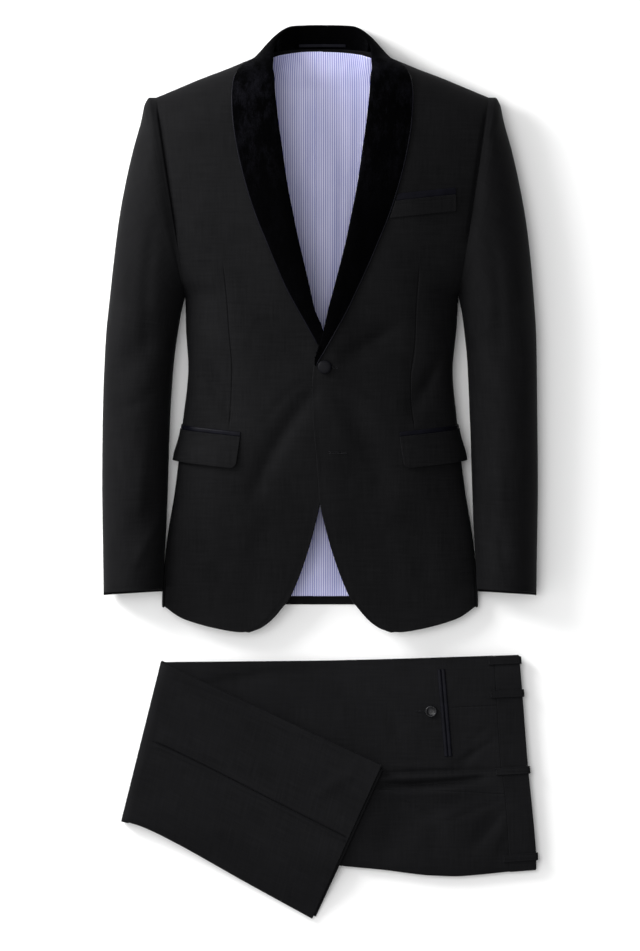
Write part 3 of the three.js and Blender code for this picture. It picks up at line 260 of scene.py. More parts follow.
def crease_height(creases, x, y):
    """The height that soft folds add, each fading towards its ends. A crease is its start, middle and end
    in the plan, its height, which is below 0 where it sinks, and its width."""
    total = np.zeros(np.shape(x))
    for *track, deep, wide in creases:
        a, b, c = np.array(track, float)
        nearest, along = np.full(np.shape(x), np.inf), np.zeros(np.shape(x))
        for t in np.linspace(0, 1, 49):
            px, py = mix(mix(a, b, t), mix(b, c, t), t)
            far = np.hypot(px - x, py - y)
            nearest, along = np.where(far < nearest, far, nearest), np.where(far < nearest, t, along)
        fade = 1 - CREASE_FADE + CREASE_FADE * np.abs(np.sin(np.pi * along)) ** 0.6
        total += deep * hump(nearest, wide) * fade
    return total


def lean(y):
    return LEAN * smooth((y - 60) / 260)


def place(side, x, y, z):
    x, y, z = np.broadcast_arrays(x, y, z)
    return np.stack([side * x + lean(y), y, z], axis=-1)


def seam_y(x):
    return read(NECK_AND_SHOULDER, "x", "y", np.abs(x))


def seam_z(x):
    return read(NECK_AND_SHOULDER, "x", "z", np.abs(x))


def armhole_x(y):
    return mix(UNDERARM[0], SHOULDER_TIP[0], (y - UNDERARM[1]) / (SHOULDER_TIP[1] - UNDERARM[1]))


def back_height(x, y):
    half, roll = read(BODY, "y", "half", y), read(BODY, "y", "roll", y)
    out = np.clip((np.abs(x) - (half - roll)) / roll, 0, 1)
    bed = COLLAR_BED * smooth((y - 512) / 32) * (1 - smooth((np.abs(x) - 100) / 25))
    low = np.maximum(roll * (1 - np.sqrt(1 - out * out)), bed)
    curl = (1 - np.clip((seam_y(x) - y) / BACK_ROUND, 0, 1)) ** BACK_RISE
    return low + (seam_z(x) - low) * curl


back_armhole_y = [mix(UNDERARM[1], SHOULDER_TIP[1], t) for t in (0.13, 0.2, 0.35, 0.55, 0.75, 1)]
back_edge = through(BACK_SEAM + [(armhole_x(y), y) for y in back_armhole_y])
edge_track = np.linspace(0, 1, 2001)
BACK_ARMHOLE = edge_track[np.argmax(back_edge(edge_track)[:, 1] >= BACK_SEAM[-1][1])]


def back_plan(side):
    middle = SEAM / 2
    shoulder = [(max(x, middle), y) for x, y in zip(NECK_AND_SHOULDER["x"], NECK_AND_SHOULDER["y"])][:-1]
    return patch(
        through([(middle, HEM_Y), (90, HEM_Y), BACK_SEAM[0]]),
        through(shoulder),
        through([(middle, HEM_Y), (middle, 200), (middle, shoulder[0][1])]),
        back_edge,
    )


def back_surface(side, u, v):
    plan = back_plan(side)(u, v)
    x, y = plan[..., 0], plan[..., 1]
    gap = mix(SHOULDER_SEAM, SEAM, smooth((seam_y(x) - y) / 12)) / 2
    return place(side, x, y, np.maximum(0, back_height(x, y) - gap))


def normals(points, facing, level=0.0):
    across, up = np.gradient(points, axis=1), np.gradient(points, axis=0)
    out = unit(np.cross(across, up) * facing)
    out[..., 2] *= 1 - level
    return unit(out)


def lines(count, tight=0.0, power=1.0):
    """Shares from 0 to 1 for the lines of a grid, closer towards 1, with a tight pair at each edge."""
    shares = 1 - (1 - np.linspace(0, 1, count + 1)) ** power
    if tight:
        shares = np.unique(np.concatenate([shares, [tight * 0.35, tight, 1 - tight, 1 - tight * 0.35]]))
    return shares


def grain(points):
    """Where a point lies on the flat cloth: across the grain round the body, and along it."""
    step = np.diff(points, axis=1)
    round_it = np.hypot(step[..., 0], step[..., 2]) * np.sign(np.mean(step[..., 0]) or 1)
    start = points[:, :1, 0]
    across = np.concatenate([start, start + np.cumsum(round_it, axis=1)], axis=1)
    return np.stack([across, points[..., 1]], axis=-1)


def make_mesh(name, points, quads, flat, finish, corners=None):
    """A smooth mesh in metres from points in millimetres. flat is each point's place on the flat cloth."""
    corners = np.zeros((0, 3), int) if corners is None else corners
    triangles = np.concatenate([quads[:, :3], quads[:, [0, 2, 3]], corners])
    a, b, c = (points[triangles[:, k]] for k in range(3))
    if np.einsum("ij,ij->", a, np.cross(b, c)) < 0:
        quads, corners = quads[:, ::-1], corners[:, ::-1]
    mesh = bpy.data.meshes.new(name)
    mesh.from_pydata((points * MM).tolist(), [], quads.tolist() + corners.tolist())
    corner = np.zeros(len(mesh.loops), np.int32)
    mesh.loops.foreach_get("vertex_index", corner)
    layer = mesh.uv_layers.new(name="cloth")
    layer.data.foreach_set("uv", (flat[corner] * MM).astype(np.float32).ravel())
    mesh.polygons.foreach_set("use_smooth", [True] * len(mesh.polygons))
    mesh.materials.append(finish)
    piece = bpy.data.objects.new(name, mesh)
    bpy.context.scene.collection.objects.link(piece)
    return piece


def sheet_grid(rows, columns):
    """A grid's points by number: its squares, its border, and each border point's inner neighbour."""
    ids = np.arange(rows * columns).reshape(rows, columns)
    squares = np.stack([ids[:-1, :-1], ids[:-1, 1:], ids[1:, 1:], ids[1:, :-1]], axis=-1).reshape(-1, 4)
    ring = np.concatenate([ids[0, :-1], ids[:-1, -1], ids[-1, :0:-1], ids[:0:-1, 0]])
    row, column = np.unravel_index(ring, (rows, columns))
    return squares, ring, ids[np.clip(row, 1, rows - 2), np.clip(column, 1, columns - 2)]


def shell(name, outer, inner, finish, flat=None, bulge=0.35):
    """A closed wall of cloth between two grids of points, with a rounded edge all round."""
    squares, ring, next_in = sheet_grid(*outer.shape[:2])
    out, low = outer.reshape(-1, 3), inner.reshape(-1, 3)
    away = unit(out[ring] - out[next_in])
    thick = np.linalg.norm(out[ring] - low[ring], axis=1, keepdims=True)
    rim = (out[ring] + low[ring]) / 2 + away * bulge * thick
    count, here = len(out), np.arange(len(ring))
    after = np.roll(here, -1)
    faces = np.concatenate([
        squares,
        squares[:, ::-1] + count,
        np.stack([ring[after], ring, here + 2 * count, after + 2 * count], axis=1),
        np.stack([after + 2 * count, here + 2 * count, ring + count, ring[after] + count], axis=1),
    ])
    cloth = (grain(outer) if flat is None else flat).reshape(-1, 2)
    points = np.concatenate([out, low, rim])
    return make_mesh(name, points, faces, np.concatenate([cloth, cloth, cloth[ring]]), finish)


def cut_size(outer, head):
    """The flat width, length and area of a piece of cloth, in metres, with the width square to the length.
    Rows in the first share, head, run along an armhole and don't count for the width."""
    steps = np.linalg.norm(np.diff(outer, axis=0), axis=-1)
    crossed = np.cross(outer[1:, 1:] - outer[:-1, :-1], outer[1:, :-1] - outer[:-1, 1:])
    cells = np.linalg.norm(crossed, axis=-1) / 2
    rows = (cells / np.maximum((steps[:, 1:] + steps[:, :-1]) / 2, 1e-6)).sum(axis=1)
    across = rows[int(head * len(rows)):].max()
    up = steps.sum(axis=0).max()
    return (across * MM, up * MM), cells.sum() * MM * MM


def sew(piece, node, outer=None, head=0):
    """Puts a finished piece in its node's place and hides that node's part. It also works out the flat size
    and area of the cloth it was cut from, which go no further.
    """
    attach(piece, "root")
    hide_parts(node)
    if outer is not None:
        flat, area = cut_size(outer, head)
        area = min(area, flat[0] * flat[1])


def paint(finish, shader, colour, **settings):
    """Joins a finish's colour to its shader, and sets the shader's inputs that are named."""
    finish.node_tree.links.new(colour, shader.inputs["Base Color"])
    for name, value in settings.items():
        shader.inputs[name.replace("_", " ")].default_value = value


def node(finish, kind, inputs=None, **settings):
    return node_in(finish.node_tree, kind, inputs, **settings)


def stretched_noise(finish, scale, detail=2.0, source="UV", rough=0.5):
    """Noise on the flat cloth, so many waves to the metre across and along."""
    where = node(finish, "ShaderNodeTexCoord")
    sized = node(finish, "ShaderNodeMapping", {"Vector": where.outputs[source], "Scale": scale})
    noise = node(finish, "ShaderNodeTexNoise", {"Vector": sized.outputs[0], "Scale": 1.0, "Detail": detail})
    noise.inputs["Roughness"].default_value = rough
    return noise.outputs["Fac"]


def ramp(finish, fac, stops):
    made = node(finish, "ShaderNodeValToRGB", {"Fac": fac})
    band = made.color_ramp
    while len(band.elements) < len(stops):
        band.elements.new(0.5)
    for element, (at, colour) in zip(band.elements, stops):
        element.position = at
        element.color = (*colour, 1) if len(colour) == 3 else colour
    return made.outputs["Color"]


def blended(finish, way, fac, a, b):
    return node(finish, "ShaderNodeMix", {0: fac, 6: a, 7: b}, data_type="RGBA", blend_type=way).outputs[2]


def bump(finish, shader, height, strength, depth, under=None):
    made = node(finish, "ShaderNodeBump", {"Strength": strength, "Distance": depth, "Height": height})
    if under is not None:
        finish.node_tree.links.new(under, made.inputs["Normal"])
    finish.node_tree.links.new(made.outputs[0], shader.inputs["Normal"])
    return made.outputs[0]


def worsted(name, dark, light, roughness):
    """Fine black worsted: a half-millimetre twill, uneven yarns both ways, and a soft bloom."""
    finish, shader = shader_of(name, dark, roughness, 0.014)
    warp = stretched_noise(finish, (520, 26, 1))
    weft = stretched_noise(finish, (22, 430, 1))
    yarns = node(finish, "ShaderNodeMath", {0: warp, 1: weft}, operation="ADD")
    cloud = stretched_noise(finish, (16, 9, 1), 3.0)
    tone = node(finish, "ShaderNodeMath", {0: yarns.outputs[0], 1: cloud}, operation="ADD")
    shade = node(finish, "ShaderNodeMapRange", {"Value": tone.outputs[0], "From Min": 1.05, "From Max": 1.95})
    colour = ramp(finish, shade.outputs[0], [(0.0, dark), (1.0, light)])
    paint(finish, shader, colour, Sheen_Weight=0.006, Sheen_Roughness=0.45, Sheen_Tint=(0.9, 0.92, 1, 1))
    where = node(finish, "ShaderNodeTexCoord")
    twill = node(
        finish,
        "ShaderNodeTexWave",
        {"Vector": where.outputs["UV"], "Scale": 640.0, "Distortion": 1.2, "Detail": 1.0}
        | {"Detail Scale": 2.0},
        wave_type="BANDS",
        bands_direction="DIAGONAL",
    )
    rough = node(finish, "ShaderNodeMapRange", {"Value": yarns.outputs[0], "From Min": 0.6, "From Max": 1.4})
    rough.inputs["To Min"].default_value = roughness - 0.08
    rough.inputs["To Max"].default_value = min(1.0, roughness + 0.1)
    finish.node_tree.links.new(rough.outputs[0], shader.inputs["Roughness"])
    ribs = bump(finish, shader, twill.outputs["Fac"], 0.22, 0.00012)
    bump(finish, shader, yarns.outputs[0], 0.3, 0.00025, ribs)
    return finish


jacket_wool = worsted("jacket_worsted", (0.0036, 0.0036, 0.0039), (0.0068, 0.0068, 0.0073), 0.6)
SIDES = (("left", -1), ("right", 1))
back_rows = lines(150, 0.004)
for name, side in SIDES:
    u, v = np.meshgrid(lines(60, 0.006, 1.15), back_rows)
    outer = back_surface(side, u, v)
    square = smooth((v - 0.95) / 0.05) * smooth((u - 0.35) / 0.12)
    facing = normals(outer, -side, square)
    inner = outer - facing * CLOTH
    rucks = crease_height(BACK_CREASES, outer[..., 0], outer[..., 1])
    inner[..., 2] -= rucks * (outer[..., 2] < 1)
    back = shell(f"back_panel_{name}", outer, inner, jacket_wool)
    sew(back, f"back_{name}", outer)

# Side panels: one narrow strip of the same wool each side, from the hem to the underarm. It
# turns round the side of the body, from the front seam down to the back seam.
SIDE_SEAM = 0.1


def girth_point(side, g, y):
    """Round the body: g is 1 at the centre front, 0 at the side and -1 where the edge meets the back."""
    half, rise, roll = (read(BODY, "y", k, y) for k in ("half", "rise", "roll"))
    front = np.clip(g, 0, 1) * np.pi / 2
    side_turn = np.clip(-g, 0, 1) * np.pi / 2
    past = np.maximum(0, -g - 1) * roll * (np.pi / 2)
    x = np.where(g >= 0, half * np.cos(front) ** (2 / DOME), half - roll + roll * np.cos(side_turn) - past)
    z = np.where(g >= 0, roll + (rise - roll) * np.sin(front) ** (2 / DOME), roll * (1 - np.sin(side_turn)))
    return place(side, x, y, z)


def girth_of_front(x, y):
    return np.arccos(np.minimum(1, x / read(BODY, "y", "half", y)) ** (DOME / 2)) / (np.pi / 2)


def girth_of_back(x, y):
    roll = read(BODY, "y", "roll", y)
    flat = read(BODY, "y", "half", y) - roll
    round_it = -np.arccos(np.clip((x - flat) / roll, 0, 1)) / (np.pi / 2)
    return np.where(x >= flat, round_it, -1 - (flat - x) / (roll * (np.pi / 2)))


def side_surface(side, u, v):
    edge = back_edge(v * BACK_ARMHOLE)
    back_x, back_y = edge[..., 0], edge[..., 1]
    y = mix(mix(-181.8, back_y, smooth(v * 12)), back_y, u)
    gap = SEAM / (read(BODY, "y", "roll", y) * (np.pi / 2))
    to_seam = SIDE_SEAM * (1 - smooth((y - 212) / 22)) - gap
    to_armhole = girth_of_back(armhole_x(y), y) - gap
    front = np.where(y < UNDERARM[1], to_seam, to_armhole)
    return girth_point(side, mix(front, girth_of_back(back_x, y) + gap, u), y)


for name, side in SIDES:
    u, v = np.meshgrid(lines(44, 0.01), lines(150, 0.004) * 0.985)
    outer = side_surface(side, u, v)
    inner = outer - normals(outer, side) * CLOTH
    panel = shell(f"side_panel_{name}", outer, inner, jacket_wool)
    sew(panel, f"side_{name}", outer)

# Back lining: pale blue striped viscose, cut in two halves with an ease pleat down the centre,
# felled to the turned-up hem of wool, which shows as a dark strip below it.
LINING = 1.1
LAYER_GAP = 0.9
LINING_PLEAT = 9
LINING_HEM = 0.0145
LINING_TOP = {"neck": 0.9965, "shoulder": 0.988, "corner": 0.32, "over": 0.06}
LINING_NECK = {"gap": 2.4, "from": 0.88, "over": 0.07}
LINING_REACH = 0.975  # share of the back's girth
STRIPE_PITCH = 0.003
HEM_TURN = {"half": 150, "from": HEM_Y + 0.4, "to": HEM_Y + 10.6, "thick": 1.6}
LINING_WAVES = [
    ((-44, 520), (-52, 400), (-40, 262), 1.5, 9),
    ((38, 540), (46, 420), (30, 250), 1.3, 8),
    ((-20, 500), (-26, 380), (-14, 210), 1.1, 7),
    ((62, 470), (58, 400), (60, 330), 1.2, 8),
    ((18, 430), (22, 320), (12, 240), 0.9, 6),
    ((-60, -60), (-10, -90), (40, -84), 1.2, 12),
    ((-30, -150), (4, -128), (52, -132), 0.8, 8),
]
lining_finish, lining_shader = shader_of("striped_lining", (0.5, 0.55, 0.8), 0.42, 0.4)
where = node(lining_finish, "ShaderNodeTexCoord")
along = node(lining_finish, "ShaderNodeSeparateXYZ", {0: where.outputs["UV"]})
pitch = {0: along.outputs[0], 1: 1 / STRIPE_PITCH}
repeat = node(lining_finish, "ShaderNodeMath", pitch, operation="MULTIPLY")
share = node(lining_finish, "ShaderNodeMath", {0: repeat.outputs[0]}, operation="FRACT")
stripe = ramp(
    lining_finish,
    share.outputs[0],
    [
        (0.0, (0.7, 0.7, 0.86)),
        (0.26, (0.68, 0.7, 0.88)),
        (0.4, (0.1, 0.12, 0.46)),
        (0.56, (0.11, 0.11, 0.44)),
        (0.68, (0.62, 0.65, 0.86)),
        (0.84, (0.3, 0.23, 0.5)),
        (1.0, (0.68, 0.68, 0.86)),
    ],
)
lining_cloud = stretched_noise(lining_finish, (30, 12, 1), 3.0)
lining_shade = ramp(lining_finish, lining_cloud, [(0.25, (0.82, 0.84, 0.9)), (0.75, (1, 1, 1))])
lining_colour = blended(lining_finish, "MULTIPLY", 1.0, stripe, lining_shade)
paint(lining_finish, lining_shader, lining_colour, Sheen_Weight=0.2)
lining_yarn = stretched_noise(lining_finish, (2600, 180, 1))
bump(lining_finish, lining_shader, lining_yarn, 0.25, 0.0001)
for name, side in SIDES:
    u, v = np.meshgrid(lines(70, 0.006, 1.1) * LINING_REACH, lines(180, 0.003))
    past_corner = smooth((u - LINING_TOP["corner"]) / LINING_TOP["over"])
    top = mix(LINING_TOP["neck"], LINING_TOP["shoulder"], past_corner)
    v = mix(LINING_HEM, top, v)
    base = back_surface(1, u, v)
    x = base[..., 0] - lean(base[..., 1]) - (LINING_PLEAT if side > 0 else 0) * (1 - u) ** 3
    surface = place(side, x, base[..., 1], base[..., 2])
    pleat = (LINING + 0.9) * (1 - smooth((u - 0.06) / 0.16)) if side > 0 else 0
    neck_gap = LINING_NECK["gap"] * smooth((v - LINING_NECK["from"]) / LINING_NECK["over"])
    facing = normals(surface, -side)
    edge = smooth(v / 0.03) * smooth((1 - v) / 0.06) * smooth((0.97 - u) / 0.1)
    wave = np.maximum(0, crease_height(LINING_WAVES, surface[..., 0], surface[..., 1])) * edge
    deep = (CLOTH + LAYER_GAP + pleat + neck_gap + wave)[..., None]
    outer = surface - facing * (deep + LINING)
    inner = surface - facing * deep
    flat = surface[..., :2]
    lining = shell(f"back_lining_{name}", outer, inner, lining_finish, flat)
    sew(lining, f"lining_{name}", outer)

u, v = np.meshgrid(lines(60, 0.004), lines(6, 0.1))
hem_x = mix(-HEM_TURN["half"], HEM_TURN["half"], u)
hem_low = np.stack([hem_x, mix(HEM_TURN["from"], HEM_TURN["to"], v), np.full(u.shape, CLOTH + SEAM)], axis=-1)
hem_top = hem_low + np.array([0, 0, HEM_TURN["thick"]])
hem = shell("turned_hem", hem_top, hem_low, jacket_wool)
sew(hem, "hem_turn", hem_top)

# Jacket fronts: wool over canvas, which keeps the chest round. Each has a waist dart from below
# the chest to the hip pocket, a cutaway edge, and soft folds where the button pulls.
CUTAWAY = [(94, -215.3), (80, -210), (65, -198.6), (52, -183.5), (42, -171), (30.6, -146), (18.5, -112)]
CUTAWAY += [(10.6, -85), (1, -45)]
EDGE = {
    -1: [(-4, -15), (-9, 20), (-13, 60), (-16, 100), (-17, 130), (-14, 150), (-9, 168), (-4, 181), (1, 198)],
    1: [(-1.5, -20), (-3, 5), (-6.5, 42), (-8.8, 70), (-10.3, 97), (-10.8, 115), (-8.5, 141), (-4.7, 157)]
    + [(0.6, 173), (5, 192)],
}
ROLL_LINE = [(9, 215), (17, 247), (25, 279), (32.3, 309), (39.3, 343), (47.2, 383), (54, 430)]
ROLL_LINE += [(59.8, 471), (64, 509), (67, 540), (83, 559.9)]
FRONT_HEM = [(94, -215.3), (111, -215.3), (135, -211.3), (164, -204), (189.5, -194.6), (209.3, -181)]
FRONT_FOLDS = [
    ((-6, 112), (-62, 48), (-92, -44), -4, 15),
    ((-4, 152), (-40, 166), (-92, 196), -3, 14),
    ((16, 118), (62, 60), (88, -34), -3, 16),
    ((24, 150), (54, 160), (96, 192), -3, 14),
    ((-170, 166), (-148, 118), (-112, 72), -4, 14),
    ((178, 172), (154, 122), (118, 78), -4, 14),
]
FINE_CREASES = [
    ((-9, 106), (-56, 52), (-88, -30), -2.4, 9),
    ((-14, 158), (-48, 184), (-84, 204), -2.4, 9),
    ((30, 154), (66, 172), (104, 196), -2.4, 9),
    ((-160, 150), (-142, 112), (-120, 84), -2.2, 8),
    ((166, 158), (148, 118), (126, 90), -2.2, 8),
    ((-10, 128), (-48, 108), (-78, 62), -0.9, 6),
    ((-8, 142), (-52, 146), (-104, 168), -0.8, 6),
    ((18, 134), (56, 122), (86, 86), -0.8, 6),
    ((20, 144), (58, 148), (104, 172), -0.7, 6),
    ((-166, 140), (-140, 104), (-118, 84), 1.0, 6),
    ((172, 148), (148, 108), (124, 90), 0.9, 6),
    ((-70, -50), (-84, -100), (-88, -160), -1.4, 16),
    ((-150, -40), (-148, -110), (-142, -180), 1.3, 18),
    ((84, -60), (92, -120), (104, -186), -1.2, 16),
    ((152, -30), (160, -100), (166, -170), 1.4, 18),
    ((-120, 330), (-96, 400), (-110, 470), -0.8, 20),
    ((150, 300), (132, 400), (150, 480), -0.9, 20),
]
DARTS = {
    -1: [(-130.4, 285), (-125, 235), (-121.5, 185), (-118, 145), (-118.5, 112), (-121, 66)],
    1: [(133.7, 281), (129.6, 224), (127, 167), (122, 128), (123, 85), (126, 66)],
}
CHEST_ROUND = {
    "y": [-216, 138, 192, 236, 260, 290, 343, 600],
    "wider": [0, 0, 2, 8, -5, -9, 0, 0],
}
ARMHOLE_DITCH = {"deep": 3.2, "wide": 3.4, "low": 296, "grows": 44, "high": 470, "fades": 26}
DART = {"deep": 1.1, "wide": 0.75, "dimple": 1.0, "spread": 9}
EDGE_PRESS = {"deep": 0.8, "wide": 1.6, "in": 4.6, "below": 190}
LAP = {"air": 0.5, "level": 18, "falls": 40, "low": -110, "grows": 60}
CROSSED_LAPELS = {"lift": 5.6, "x": 5, "wide": 36, "y": 169, "long": 60}


def front_height(x, y):
    half, rise, roll = (read(BODY, "y", k, y) for k in ("half", "rise", "roll"))
    inside_edge = 1 - smooth((np.abs(x) / half - 0.62) / 0.25)
    half = half + read(CHEST_ROUND, "y", "wider", y) * inside_edge
    out = np.minimum(1, np.abs(x) / half)
    dome = roll + (rise - roll) * (1 - out**DOME) ** (1 / DOME)
    turned = np.sqrt(1 - (1 - np.clip((seam_y(x) - y) / FRONT_ROUND, 0, 1)) ** 2)
    return seam_z(x) + (dome - seam_z(x)) * turned


def ditch_at(y):
    """The armhole seam sinks between the underarm and the shoulder."""
    grown = smooth((y - ARMHOLE_DITCH["low"]) / ARMHOLE_DITCH["grows"])
    return grown * (1 - smooth((y - ARMHOLE_DITCH["high"]) / ARMHOLE_DITCH["fades"]))


def lap(side, x, y):
    """How far front_right is lifted to lie on front_left: the wearer's left closes over the right."""
    if side < 0:
        return np.zeros(np.shape(x))
    near_edge = 1 - smooth((x - LAP["level"]) / LAP["falls"])
    overlap = (CLOTH + LAP["air"]) * near_edge * smooth((y - LAP["low"]) / LAP["grows"])
    across = (x - CROSSED_LAPELS["x"]) / CROSSED_LAPELS["wide"]
    up = (y - CROSSED_LAPELS["y"]) / CROSSED_LAPELS["long"]
    return overlap + CROSSED_LAPELS["lift"] * np.exp(-(across**2) - up**2)


def chest_height(side, x, y, fine=False):
    calm = 1 - smooth((x / read(BODY, "y", "half", y) - 0.8) / 0.17)
    folds = FRONT_FOLDS + FINE_CREASES if fine else FRONT_FOLDS
    return front_height(x, y) + lap(side, x, y) + crease_height(folds, side * x + lean(y), y) * calm


def dart_height(side, x, y):
    """A dart is a fine sewn line in a shallow dimple, which both fade to nothing at its points."""
    track = through(DARTS[side])(np.linspace(0, 1, 240))
    top, low = track[0, 1], track[-1, 1]
    line_x = np.interp(y, track[::-1, 1], track[::-1, 0])
    far = side * x + lean(y) - line_x
    fade = smooth((top - y) / 26) * smooth((y - low + 6) / 6)
    line = DART["deep"] * hump(far, DART["wide"])
    return -(line + DART["dimple"] * hump(far, DART["spread"])) * fade


def front_plan(side):
    side_y = np.array([-180, -100, -20, 60, 140, 190, 222], float)
    seam = girth_point(1, np.full(7, SIDE_SEAM), side_y)
    seam_points = [FRONT_HEM[-1]] + [(x - lean(y), y) for x, y in seam[1:, :2]]
    armhole_y = [mix(UNDERARM[1], SHOULDER_TIP[1], t) for t in (0, 0.2, 0.45, 0.75, 1)]
    shoulder_x = np.linspace(ROLL_LINE[-1][0], SHOULDER_TIP[0], 7)
    return patch(
        through(FRONT_HEM),
        through([(x, float(seam_y(x))) for x in shoulder_x]),
        through(CUTAWAY + EDGE[side] + ROLL_LINE),
        through(seam_points + [(armhole_x(y), y) for y in armhole_y]),
    )


dart_columns = np.linspace(0.585, 0.705, 46)
front_columns = np.unique(np.concatenate([lines(70, 0.006, 1.15), dart_columns, np.linspace(0.93, 1, 16)]))
front_rows = np.unique(np.concatenate([lines(200, 0.003), np.linspace(0.9, 1, 40)]))
for name, side in SIDES:
    u, v = np.meshgrid(front_columns, front_rows)
    plan = front_plan(side)(u, v)
    x, y = plan[..., 0], plan[..., 1]
    gap = mix(SHOULDER_SEAM, SEAM, smooth((seam_y(x) - y) / 12)) / 2
    height = chest_height(side, x, y, fine=True) + dart_height(side, x, y) + gap
    width = np.linalg.norm(plan[:, -1] - plan[:, 0], axis=1)[:, None]
    from_edge = u * width
    press = EDGE_PRESS["deep"] * hump(from_edge - EDGE_PRESS["in"], EDGE_PRESS["wide"])
    to_armhole = np.linalg.norm(plan - plan[:, -1:], axis=-1)
    ditch = ARMHOLE_DITCH["deep"] * hump(to_armhole, ARMHOLE_DITCH["wide"]) * ditch_at(y)
    outer = place(side, x, y, height - press * (y < EDGE_PRESS["below"]) - ditch)
    facing = normals(outer, side, smooth((v - 0.95) / 0.05))
    front = shell(f"front_panel_{name}", outer, outer - facing * CLOTH, jacket_wool)
    sew(front, f"front_{name}", outer)

# Sleeves: each is a tube of a top and an under half, seamed along the forearm and the elbow, set
# into the armhole and open at the cuff. They lie beside the body.
SLEEVE = {
    "k": list(range(17)),
    "ix": [184.5, 184.7, 184.9, 185.2, 185.7, 186.4, 187.4, 188.8, 190.6, 193.4, 197.4, 200.5, 203]
    + [204.8, 206.8, 209.5, 211.6],
    "iy": [236, 235.3, 234.3, 232.8, 230.6, 227.4, 223, 216.5, 206, 186, 152, 104, 48, -10, -66, -114, -157],
    "ox": [223.8, 232.8, 239.3, 245, 254.5, 265.5, 275, 281.8, 286.3, 289.8, 291.4, 292.6, 293.4]
    + [293.8, 293.2, 292.4, 291.8],
    "oy": [504.3, 504.3, 495.5, 470, 436, 388, 334, 277, 229, 188, 146, 97, 42, -15, -70, -118, -162],
    "rise": [92, 92, 91, 91, 90, 89, 88, 87, 86, 85, 84, 82, 80, 78, 76, 74, 72],
    "roll": [32, 32, 32, 32, 32, 32, 32, 32, 32, 32, 32, 31, 30, 29, 28, 28, 28],
    "arm": [1, 0.85, 0.62, 0.38, 0.18, 0.05, 0, 0, 0, 0, 0, 0, 0, 0, 0, 0, 0],
}
SLEEVE_CLOTH = 2
SLEEVE_HEAD = 0.5  # share of its rows of points down to the biceps line
SLEEVE_FLAT = 0.42
SLEEVE_SEAM = 0.6
CUFF_SHOWS = 3.6
SLEEVE_DITCH = 0.012
ARMHOLE_LAP = 0.3
SLEEVE_FOLDS = [
    ((-216, 196), (-246, 150), (-286, 128), -4, 20),
    ((-204, -28), (-222, -52), (-262, -96), -4, 18),
    ((218, 186), (246, 150), (288, 136), -4, 20),
    ((212, -38), (228, -74), (246, -126), -4, 18),
]
SLEEVE_CREASES = [
    ((-222, 330), (-238, 250), (-232, 160), -2.2, 9),
    ((-262, 300), (-266, 220), (-272, 120), 1.6, 8),
    ((-210, 120), (-236, 92), (-276, 80), -1.8, 9),
    ((-230, 40), (-244, -10), (-240, -84), 1.6, 8),
    ((-208, -62), (-232, -88), (-250, -132), 1.8, 7),
    ((228, 320), (246, 240), (238, 150), -2.2, 9),
    ((268, 290), (272, 210), (278, 110), 1.4, 8),
    ((216, 110), (244, 84), (280, 76), -1.6, 9),
    ((236, 30), (248, -20), (236, -90), 1.6, 8),
    ((222, -60), (240, -96), (238, -146), 1.9, 6),
]
UNDER_CREASES = [
    ((-212, 170), (-240, 150), (-262, 152), -2.0, 9),
    ((-220, -20), (-246, -44), (-270, -60), -1.8, 9),
    ((218, 160), (244, 146), (268, 150), -2.0, 9),
    ((226, -30), (250, -56), (276, -72), -1.8, 9),
]


def sleeve_surface(side, half, s, t):
    ring = {k: read(SLEEVE, "k", k, s * 16) for k in ("ix", "iy", "ox", "oy", "rise", "roll", "arm")}
    share = upright(t)
    out = np.abs(2 * share - 1)
    arm_y = mix(UNDERARM[1], SHOULDER_TIP[1], share)
    arm_x = armhole_x(arm_y)
    x = mix(ring["ix"], ring["ox"], share) - ARMHOLE_LAP
    y = mix(ring["iy"], ring["oy"], share)
    at_x = side * x + lean(y)
    if half > 0:
        folds = crease_height(SLEEVE_FOLDS, at_x, y) * (1 - out**3)
        fine = crease_height(SLEEVE_CREASES, at_x, y) * (1 - out**3)
        fine = fine * smooth(s / 0.15) * smooth((1 - s) / 0.06)
        tube = ring["roll"] + (ring["rise"] - ring["roll"]) * np.sqrt(1 - out * out) + folds + fine
        ditch = ARMHOLE_DITCH["deep"] * hump(s, SLEEVE_DITCH) * ditch_at(arm_y)
        return place(side, x, y, mix(tube, front_height(arm_x, arm_y), ring["arm"]) + SLEEVE_SEAM / 2 - ditch)
    y = y - CUFF_SHOWS * smooth((s - 0.94) / 0.06)
    curl = np.clip((out - SLEEVE_FLAT) / (1 - SLEEVE_FLAT), 0, 1)
    tube = ring["roll"] * (1 - np.sqrt(1 - curl * curl))
    tube = np.maximum(0, tube - crease_height(UNDER_CREASES, at_x, y) * smooth(curl * 3) * (1 - curl))
    height = mix(tube, back_height(arm_x, arm_y), ring["arm"]) - SLEEVE_SEAM / 2
    return place(side, x, y, np.maximum(0, height))


for name, side in SIDES:
    for label, half in (("top", 1), ("under", -1)):
        t, s = np.meshgrid(lines(54), lines(190, 0.003))
        outer = sleeve_surface(side, half, s, t)
        along = np.gradient(outer, axis=1)
        chord = outer[:, -1:] - outer[:, :1]
        chord[..., 2] = 0
        chord = unit(chord)
        run = np.sum(along * chord, axis=-1)
        run[:, [0, -1]] = 0
        inward = chord * (half * along[..., 2:3])
        inward[..., 2] -= half * run
        inward = unit(inward)
        around, down = walked(outer, 1), walked(outer, 0).mean(axis=1, keepdims=True)
        flat = np.stack([around, np.broadcast_to(down, around.shape)], axis=-1)
        inner = outer + inward * SLEEVE_CLOTH
        sleeve = shell(f"{label}_sleeve_{name}", outer, inner, jacket_wool, flat, 0.15)
        sew(sleeve, f"sleeve_{name}_{label}", outer, head=SLEEVE_HEAD)

